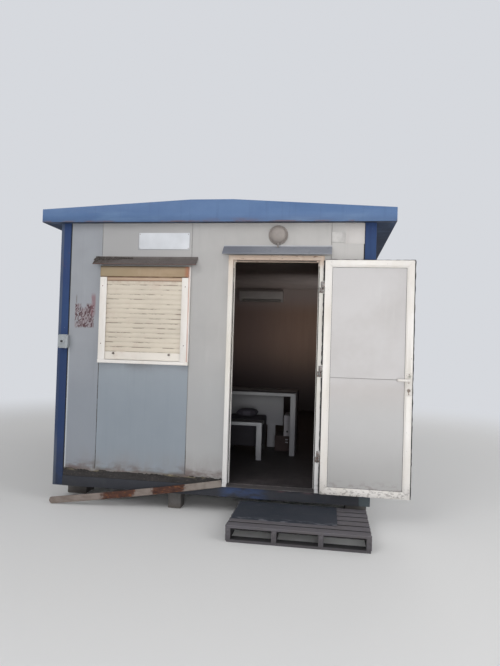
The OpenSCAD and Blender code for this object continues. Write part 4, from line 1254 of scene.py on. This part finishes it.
def buildLock():  # on both faces a screwed plate with a key cylinder, and the latch in the leaf's edge
    low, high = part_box("lock_plates")
    x, keyZ, inset = (low.x + high.x) / 2, low.z + lock["keyRise"], lock["screwInset"]
    heads, keys, slots = [], [], []
    for face, side in ((low.y, -1), (high.y, 1)):
        for z in (low.z + inset, high.z - inset):
            heads.append(screwHead((0, side, 0), 0.0045, 0.0015))
            heads[-1].data.transform(Matrix.Translation((x, face, z)))
        keys.append(rod("key", (x, face - side * 0.02, keyZ), (x, face + side * 0.0025, keyZ),
                        lock["keyRadius"], 28))
        tail = block("tail", (x - 0.004, face - side * 0.004, keyZ - 0.026),
                     (x + 0.004, face + side * 0.0022, keyZ - 0.004))
        keys.append(rounded(tail, 0.0025, 3))
        slots.append(block("slot", (x - 0.0012, face, keyZ - 0.005),
                           (x + 0.0012, face + side * 0.0029, keyZ + 0.005)))
    settled(united("lock_screws", heads), "door", "rustySteel", "hinge_steel")
    settled(rounded(united("key_cylinders", keys), 0.0008), "door", "keySteel", "hinge_steel")
    rubbery(rounded(united("key_slots", slots), 0.0003, 1), "door")
    edge, middleY, latchZ = leafHigh.x, (leafLow.y + leafHigh.y) / 2, high.z - lock["latchDrop"]
    front = block("latch_plate", (edge - 0.001, middleY - 0.011, low.z - 0.01),
                  (edge + 0.0015, middleY + 0.011, high.z + 0.01))
    bolt = block("latch_bolt", (edge - 0.004, middleY - 0.006, latchZ - 0.014),
                 (edge + 0.0045, middleY + 0.006, latchZ + 0.014))
    latch = united("latch", [rounded(front, 0.0006), rounded(bolt, 0.0015)])
    settled(latch, "door", "hingeSteel", "hinge_steel")


hinge = {"plate": 0.0025, "rises": (0.012, 0.038)}


def buildHingeScrews():
    plate, rises = hinge["plate"], hinge["rises"]
    jamb = [(x, high.y - plate, low.z + rise) for low, high in looseBoxes("frame_hinges")
            for x in (low.x + 0.007, high.x - 0.006) for rise in rises]
    leaf = [(high.x - 0.008, low.y + plate, low.z + rise)
            for low, high in looseBoxes("leaf_hinges") for rise in rises]
    screws("frame_hinge_screws", jamb)
    screws("leaf_hinge_screws", leaf, (0, 1, 0), body="door")


def buildLooseTrim():  # a folded strip that sags, with a crushed rounded end on the ground
    low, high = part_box("loose_trim")
    face, flange, bend = trim["face"], trim["flange"], trim["bend"]
    run = high.x - low.x
    lift, turn = math.atan2(high.z - face, run), math.atan2(frontY - flange - low.y, run)
    length = run / math.cos(lift)
    ahead = Vector((math.cos(lift) * math.cos(turn), math.cos(lift) * math.sin(turn), math.sin(lift)))
    inward = Vector((-math.sin(turn), math.cos(turn), 0))
    upward = Vector((-math.sin(lift) * math.cos(turn), -math.sin(lift) * math.sin(turn), math.cos(lift)))
    foot = Vector((low.x + face * math.sin(lift), low.y, 0))
    section = [(flange, 0.001), (bend, 0), (0, bend), (0, face * 0.35), (0, face * 0.65), (0, face - bend),
               (bend, face), (flange, face - 0.001)]

    def placed(u, v):
        step = min(len(section) - 2, int(v * (len(section) - 1)))
        part = v * (len(section) - 1) - step
        deep, level = (a * (1 - part) + b * part for a, b in zip(section[step], section[step + 1]))
        s, level = u * length, level / face
        crushed = math.sqrt(max(0.0, 1 - max(0.0, 1 - s / trim["crushedEnd"]) ** 2))
        dent = 0.0025 * wobble(s * 7, level * 2) + 0.0012 * wobble(s * 30, level * 5, 4)
        tall = 0.5 + (level - 0.5) * (0.25 + 0.75 * crushed)
        return (foot + ahead * s + inward * (deep * (0.4 + 0.6 * crushed) + 0.0015 + abs(dent))
                + upward * (tall * face - 4 * trim["sag"] * u * (1 - u)))

    piece = sheetGrid("loose_trim_bent", 150, 14, trim["thickness"] * 0.7, placed)
    lowest = min(point.co.z for point in piece.data.vertices)
    piece.data.transform(Matrix.Translation((0, 0, 0.0005 - min(0.0, lowest))))
    settled(smoothed(outwards(piece), 40), "cabin", "trimRust", "trim_rust", "loose_trim")


rivets = {"z": 0.281, "radius": 0.004, "height": 0.0022, "front": (2.62, 2.84), "backPitch": 0.325,
          "sidePitch": 0.5}


def buildTrimRivets():
    face = skinBack - 0.002
    sideY = [0.25 + rivets["sidePitch"] * i for i in range(12)]
    rows = ((toFront, [(x, face) for x in rivets["front"]]),
            ((0, 1, 0), [(0.2 + rivets["backPitch"] * i, cabinLength - face) for i in range(9)]),
            ((-1, 0, 0), [(face, y) for y in sideY]), ((1, 0, 0), [(cabinWidth - face, y) for y in sideY]))
    sides = [copied("rivets", screwHead(direction, rivets["radius"], rivets["height"]),
                    [spot(x, y, rivets["z"]) for x, y in places]) for direction, places in rows]
    settled(united("trim_rivets", sides), "cabin", "hingeSteel", "hinge_steel")


# Doorstep: sawn boards with worn ends, each nailed to the bearers, and a worn mat

pallet = {"wear": 0.010, "wornEnd": 0.02, "warp": 0.0016, "nailInset": 0.018, "nailStray": 0.006}


def sawnBoard(name, low, high, lengthwise, seed):
    board = subdivided(block(name, low, high), 11)
    axis, end = "XYZ".index(lengthwise), pallet["wornEnd"]
    shift = Vector((seed * 2.7, seed * 1.3, seed * 0.9))
    for point in board.data.vertices:
        place = point.co
        if min(place[axis] - low[axis], high[axis] - place[axis]) < end:
            bite = pallet["wear"] * max(0.0, noise.noise(place * 34 + shift) + 0.15)
            place[axis] += bite if place[axis] - low[axis] < end else -bite
        place[1 - axis] += 0.0012 * noise.noise(place * 6 + shift)
        place.z -= pallet["warp"] * abs(wobble(place[axis] * 3, seed * 4.1)) * (place.z > 0.06)
    return rounded(board, 0.0016, 1, 50)


def buildPallet():
    boardBoxes, bearerBoxes = looseBoxes("pallet_boards"), looseBoxes("pallet_bearers")
    boards = [sawnBoard("board", low, high, "X", i) for i, (low, high) in enumerate(boardBoxes)]
    settled(united("pallet_boards_sawn", boards), "cabin", "boardTimber", "timber_grey", "pallet_boards")
    bearers = [sawnBoard("bearer", low, high, "Y", 20 + i) for i, (low, high) in enumerate(bearerBoxes)]
    settled(united("pallet_bearers_sawn", bearers), "cabin", "bearerTimber", "timber_grey", "pallet_bearers")
    inset, stray = pallet["nailInset"], pallet["nailStray"]
    nails = [((bearerLow.x + bearerHigh.x) / 2 + random.uniform(-stray, stray), y, high.z - 0.0018)
             for low, high in boardBoxes if low.z > 0.05 for bearerLow, bearerHigh in bearerBoxes
             for y in (low.y + inset, high.y - inset)]
    screws("pallet_nails", nails, (0, 0, 1), height=0.0012)


mat = {"edge": 0.004, "curledCorner": 0.16, "curl": 0.006}


def buildMat():
    low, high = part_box("step_mat")
    piece, edge = subdivided(block("step_mat_worn", low, high), 40), mat["edge"]
    for point in piece.data.vertices:
        place = point.co
        outline = wobble(place.x * 7, place.y * 7, 2)
        fine = wobble(place.x * 60, place.y * 60, 5)
        if place.y - low.y < edge:
            place.y += 0.004 + 0.004 * outline + 0.003 * fine
        if high.x - place.x < edge:
            place.x -= 0.004 + 0.004 * outline + 0.002 * fine
        if place.x - low.x < edge:
            place.x += 0.003 + 0.003 * outline
        corner = max(0.0, 1 - (Vector((high.x, low.y)) - place.xy).length / mat["curledCorner"])
        place.z += max(0.0, outline) * 0.0015 + mat["curl"] * corner ** 2 * (0.5 + outline)
    settled(rounded(piece, 0.0012, 1, 50), "cabin", "matDark", "mat_dark", "step_mat")


def buildBlocks():
    pieces = []
    for i, (low, high) in enumerate(looseBoxes("support_blocks")):
        piece = subdivided(applied(block("foot_block", low, high), "BEVEL", width=0.008, segments=2), 6)
        ends = (low.z + 0.001, high.z - 0.001)
        shaken(piece, 0.0025, 0.03, i, lambda point: ends[0] < point.z < ends[1])
        pieces.append(smoothed(piece, 40))
    settled(united("support_blocks_rough", pieces), "cabin", "blockConcrete", "concrete", "support_blocks")


roof = {"ribFirst": 0.25, "ribPitch": 0.25, "ribs": 23, "eaveX": -0.165, "eaveZ": 2.765, "slope": 0.05646,
        "ribHeight": 0.018, "screwX": (0.02, 0.66, 1.24), "washer": 0.002, "washerRadius": 0.009,
        "headTop": 0.007, "headRadius": 0.0055}


def buildRoofScrews():  # with a washer each, along the ribs
    top, thick, radius = roof["headTop"], roof["washer"], roof["washerRadius"]
    washer = rod("washer", (0, 0, -0.001), (0, 0, thick), radius, 10, radius - 0.001)
    model = united("roof_screw", [washer, rod("head", (0, 0, thick), (0, 0, top), roof["headRadius"], 6)])
    places = []
    for rib in range(roof["ribs"]):
        y = roof["ribFirst"] + rib * roof["ribPitch"]
        for x in roof["screwX"]:
            z = roof["eaveZ"] + (x - roof["eaveX"]) * roof["slope"] + roof["ribHeight"]
            places += [spot(x, y, z), spot(cabinWidth - x, y, z)]
    settled(copied("roof_screws", model, places), "cabin", "hingeSteel", "hinge_steel")


# Furniture in the doorway

drawers = {"splitZ": 0.450, "towerInset": (0.105, 0.015), "pullZ": (0.375, 0.41), "pullInset": 0.045,
           "knobZ": 0.505, "knobRadius": 0.012}


def buildDrawers():  # a brown drawer case with a pale tower on it
    low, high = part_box("drawer_unit")
    (insetX, insetY), splitZ = drawers["towerInset"], drawers["splitZ"]
    towerX, towerY = low.x + insetX, low.y + insetY
    case = insetPush(block("drawer_case", low, (high.x, high.y, splitZ)), toFront, 0.012, -0.004)
    settled(rounded(case, 0.0012), "cabin", "drawerBrown", "drawer_brown", "drawer_unit")
    tower = insetPush(block("tower_case", (towerX, towerY, splitZ), high), toFront, 0.006, -0.002)
    # the pale tower's finish is darkened as painted shade
    settled(rounded(tower, 0.0015), "cabin", "towerGrey", "unit_white")
    pull = rounded(block("pull", (-0.016, -0.008, -0.007), (0.016, 0.001, 0.007)), 0.002)
    places = [(high.x - drawers["pullInset"], low.y + 0.004, z) for z in drawers["pullZ"]]
    settled(copied("drawer_pulls", pull, places), "cabin", "furnitureWhite", "furniture_white")
    knobX, knobZ, radius = (towerX + high.x) / 2, drawers["knobZ"], drawers["knobRadius"]
    knob = rod("tower_knob", (knobX, towerY + 0.002, knobZ), (knobX, towerY - 0.008, knobZ), radius, 24,
               radius - 0.002)
    rubbery(rounded(knob, 0.002))


seat = {"padFoot": 0.360, "padTop": 0.690, "bulge": 0.006, "footInset": 0.020, "footWidth": 0.040,
        "cushionCentre": (1.640, 1.650, 0.733), "cushionHalf": (0.125, 0.090, 0.043)}


def buildSeat():  # an upholstered seat on four feet, with a stuffed cushion on it
    low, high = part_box("low_seat")
    centre = Vector(((low.x + high.x) / 2, (low.y + high.y) / 2, (seat["padFoot"] + seat["padTop"]) / 2))
    half = Vector((high.x - centre.x, high.y - centre.y, seat["padTop"] - centre.z))
    pad = subdivided(block("seat_pad", (-1, -1, -1), (1, 1, 1)), 11)
    for point in pad.data.vertices:
        flat = [1 - v * v for v in point.co]
        for axis in range(3):
            swell = flat[(axis + 1) % 3] * flat[(axis + 2) % 3]
            point.co[axis] *= half[axis] - seat["bulge"] * (1 - swell)
        point.co += centre
    shaken(rounded(pad, 0.018, 3, 60), 0.002, 0.06, 4)
    settled(smoothed(pad, 60), "cabin", "seatFabric", "seat_dark", "low_seat")
    cushion = subdivided(block("seat_cushion", (-1, -1, -1), (1, 1, 1)), 13)
    middle, reach = spot(*seat["cushionCentre"]), seat["cushionHalf"]
    for point in cushion.data.vertices:
        a, b, c = point.co
        puff = 0.14 + 0.86 * (max(0.0, 1 - a ** 4) * max(0.0, 1 - b ** 4)) ** 0.4
        point.co = Vector((a * reach[0] * (0.95 + 0.05 * b * b), b * reach[1] * (0.95 + 0.05 * a * a),
                           c * puff * reach[2])) + middle
    shaken(applied(cushion, "SUBSURF", levels=1, render_levels=1), 0.003, 0.05, 6)
    settled(smoothed(cushion, 80), "cabin", "seatFabric", "seat_dark")
    inset, width = seat["footInset"], seat["footWidth"]
    foot = rounded(block("seat_foot", (0, 0, low.z), (width, width, seat["padFoot"] + 0.012)), 0.003)
    rubbery(copied("seat_feet", foot, [(x, y, 0) for x in (low.x + inset, high.x - inset - width)
                                       for y in (low.y + inset, high.y - inset - width)]))


stages = {"front wall fittings": (buildRottenFoot, buildPostSealShades, buildJointSeals, buildPatches, buildSign,
                                  buildJunctionBox, buildLamp),
          "shutter parts": (buildShutterParts, buildDebris),
          "doorway and leaf parts": (buildGaskets, buildLeafGaskets, buildLeafLip, buildLock,
                                     buildHingeScrews),
          "trims": (buildLooseTrim, buildTrimRivets),
          "doorstep and blocks": (buildPallet, buildMat, buildBlocks),
          "roof screws and furniture": (buildRoofScrews, buildDrawers, buildSeat)}
for stage, builders in stages.items():
    for build in builders:
        build()
    print(stage, "built")
